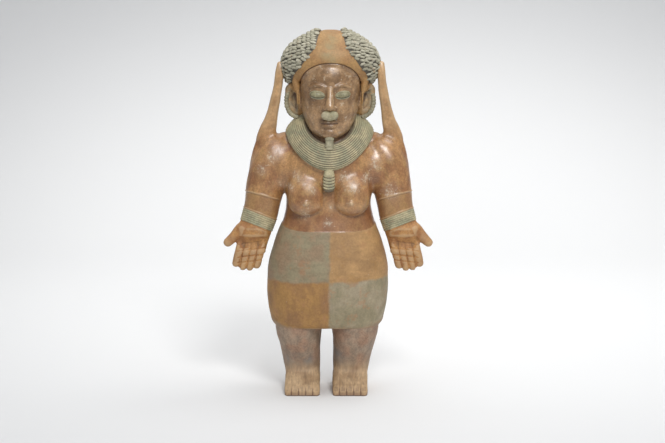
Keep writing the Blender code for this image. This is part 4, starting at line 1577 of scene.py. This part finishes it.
def slip_finish(name, one, other, fleck, grooved=False):
    """Matt grey-green paint, with painted shade in the grooves where the skin keeps their depth."""
    f = Finish(name)
    colour = f.mottled(f.clouded(60, one, other, 5.0), 170, 0.1)
    colour = f.mottled(colour, 480, 0.12)
    colour = f.specked(colour, fleck, 120, 0.5, 0.58)
    colour = f.specked(colour, "dirt_and_shade", 300, 0.4, 0.63)
    if grooved:
        # Painted shade in the grooves, as each piece's groove value gives it.
        colour = f.mix(f.step(f.value("groove"), 0.2, 0.85, 0, 0.78), colour, paint("dirt_and_shade"))
    roughness = f.step(f.noise(80, 4.0), 0.3, 0.7, 0.52, 0.74)
    return f.done(colour, roughness, f.bump(f.noise(800, 4.0), 0.0002, 0.6))


def hair_finish():
    """Matt grey-green paint on the locks, each a little different, with painted shade on their
    undersides and between them.
    """
    f = Finish("hair_paint")
    shade = f.value("shade")
    colour = f.mix(shade, paint("lock"), paint("lock_pale"))
    colour = f.specked(f.mottled(colour, 300, 0.12), "band_dark", 90, 0.45, 0.58)
    # Painted shade: the underside of each lock darkens towards the colour of the hair's bed.
    colour = f.mix(f.step(f.value("tip"), 0.45, -0.3), colour, paint("hair_bed_shade"))
    return f.done(colour, f.step(shade, 0, 1, 0.66, 0.78), f.bump(f.noise(900, 3.0), 0.0002, 0.6))


def eye_finish():
    """Eye paint: a pale greenish rim and lid, and a darker eye below the lid."""
    f = Finish("eye_paint")
    inside, lid_line = f.value("inside"), f.value("lid_line")
    lid = f.mottled(f.clouded(200, "lid", "lid_dark"), 500, 0.12)
    colour = f.mix(f.step(lid_line, -0.03, 0.05), lid, paint("eye"))
    colour = f.mix(f.step(inside, 0.2, 0.1), colour, paint("eye_rim"))
    line = f.step(f.math("ABSOLUTE", lid_line), 0.09, 0.03, 0, 0.8)
    colour = f.mix(f.math("MULTIPLY", line, f.step(inside, 0.0, 0.1)), colour, paint("pit_and_shade"))
    colour = f.mix(f.step(inside, 0.0, -0.08), colour, paint("face_dark"))
    roughness = f.step(f.noise(120, 3.0), 0.3, 0.7, 0.4, 0.55)
    return f.done(colour, roughness, f.bump(f.noise(800, 3.0), 0.0001, 0.5))


def paper_finish():
    """Pale studio paper that darkens away from the middle, as the light on it does."""
    f = Finish("studio_paper")
    away = f.vector("SUBTRACT", {0: f.place, 1: PAPER_MIDDLE}).outputs[0]
    flat = f.vector("MULTIPLY", {0: away, 1: PAPER_SHARES}).outputs[0]
    distance = f.vector("LENGTH", {0: flat}).outputs["Value"]
    colour = f.mix(f.step(distance, *PAPER_FADE), PAPER_PALE, PAPER_DARK)
    return f.done(colour, 0.9, f.bump(f.noise(300, 2.0), 0.0001, 0.1))


def make_studio():
    """A sweep of pale paper behind and below the figure."""
    rows = [(y, 0.0) for y in np.linspace(PAPER_FRONT, PAPER_BEND, 5)]
    for turn in np.radians(np.linspace(5, 90, 18)):
        y = PAPER_BEND + PAPER_RADIUS * math.sin(turn)
        rows.append((y, PAPER_RADIUS - PAPER_RADIUS * math.cos(turn)))
    rows.append((PAPER_BEND + PAPER_RADIUS, PAPER_TOP))
    points = np.array([[(x, y, z) for x in (-PAPER_HALF_WIDTH, PAPER_HALF_WIDTH)] for y, z in rows])
    paper = grid_object("studio_paper", points)
    smooth_shaded(paper)
    paper.data.materials.append(paper_finish())


def soft_light(name, place, aim, size, power, gloss_only):
    """A square lamp at a place, turned towards another. It may light the gloss alone."""
    lamp = bpy.data.lights.new(name, "AREA")
    lamp.size = size
    lamp.energy = power
    made = linked(name, lamp)
    made.visible_camera = False
    made.visible_diffuse = not gloss_only
    made.location = place
    made.rotation_mode = "QUATERNION"
    made.rotation_quaternion = (Vector(aim) - Vector(place)).to_track_quat("-Z", "Y")


def light_studio():
    for lamp in LAMPS:
        soft_light(*lamp)
    world = bpy.data.worlds.new("studio")
    bpy.context.scene.world = world
    world.use_nodes = True
    background = world.node_tree.nodes["Background"]
    background.inputs["Color"].default_value = SKY_COLOUR
    background.inputs["Strength"].default_value = SKY_STRENGTH
    bpy.context.scene.view_settings.view_transform = "Standard"


def make_camera():
    camera = linked("camera", bpy.data.cameras.new("camera"))
    camera.data.lens = LENS
    camera.data.sensor_width = SENSOR
    back = Vector((0, -math.cos(CAMERA_RISE), math.sin(CAMERA_RISE)))
    camera.location = LOOK_AT + back * CAMERA_DISTANCE
    camera.rotation_mode = "QUATERNION"
    camera.rotation_quaternion = (-back).to_track_quat("-Z", "Y")
    bpy.context.scene.camera = camera


def joined(parts, name):
    """One object from several, with their kept numbers."""
    bpy.ops.object.select_all(action="DESELECT")
    for part in parts:
        part.select_set(True)
    bpy.context.view_layer.objects.active = parts[0]
    bpy.ops.object.join()
    parts[0].name = name
    return parts[0]


def dress():
    """Every piece of the figure, each in its material."""
    body, head = make_body(), make_head()
    body_tree, head_tree = tree_of(body), tree_of(head)
    hair_paint = hair_finish()
    band_paint = slip_finish("collar_paint", "collar", "collar_green", "clay_pale", grooved=True)
    for side, word in ((-1, "left"), (1, "right")):
        finished(make_hair(head_tree, side, f"hair_{word}"), hair_paint)
        finished(make_wristband(body_tree, side, f"wristband_{word}"), band_paint)
    finished(joined(make_eyes(head_tree), "eyes"), eye_finish())
    finished(make_collar(), band_paint)
    finished(make_pendant(), band_paint)
    bead_paint = slip_finish("bead_paint", "bead", "bead_green", "clay_pale")
    finished(make_labret(), bead_paint)
    finished(make_ear_beads(), bead_paint)
    nose_paint = slip_finish("ornament_paint", "ornament", "ornament_green", "band_dark")
    finished(make_nose_ornament(), nose_paint)
    finished(body, body_finish())
    finished(head, head_finish())


dress()
make_studio()
light_studio()
make_camera()
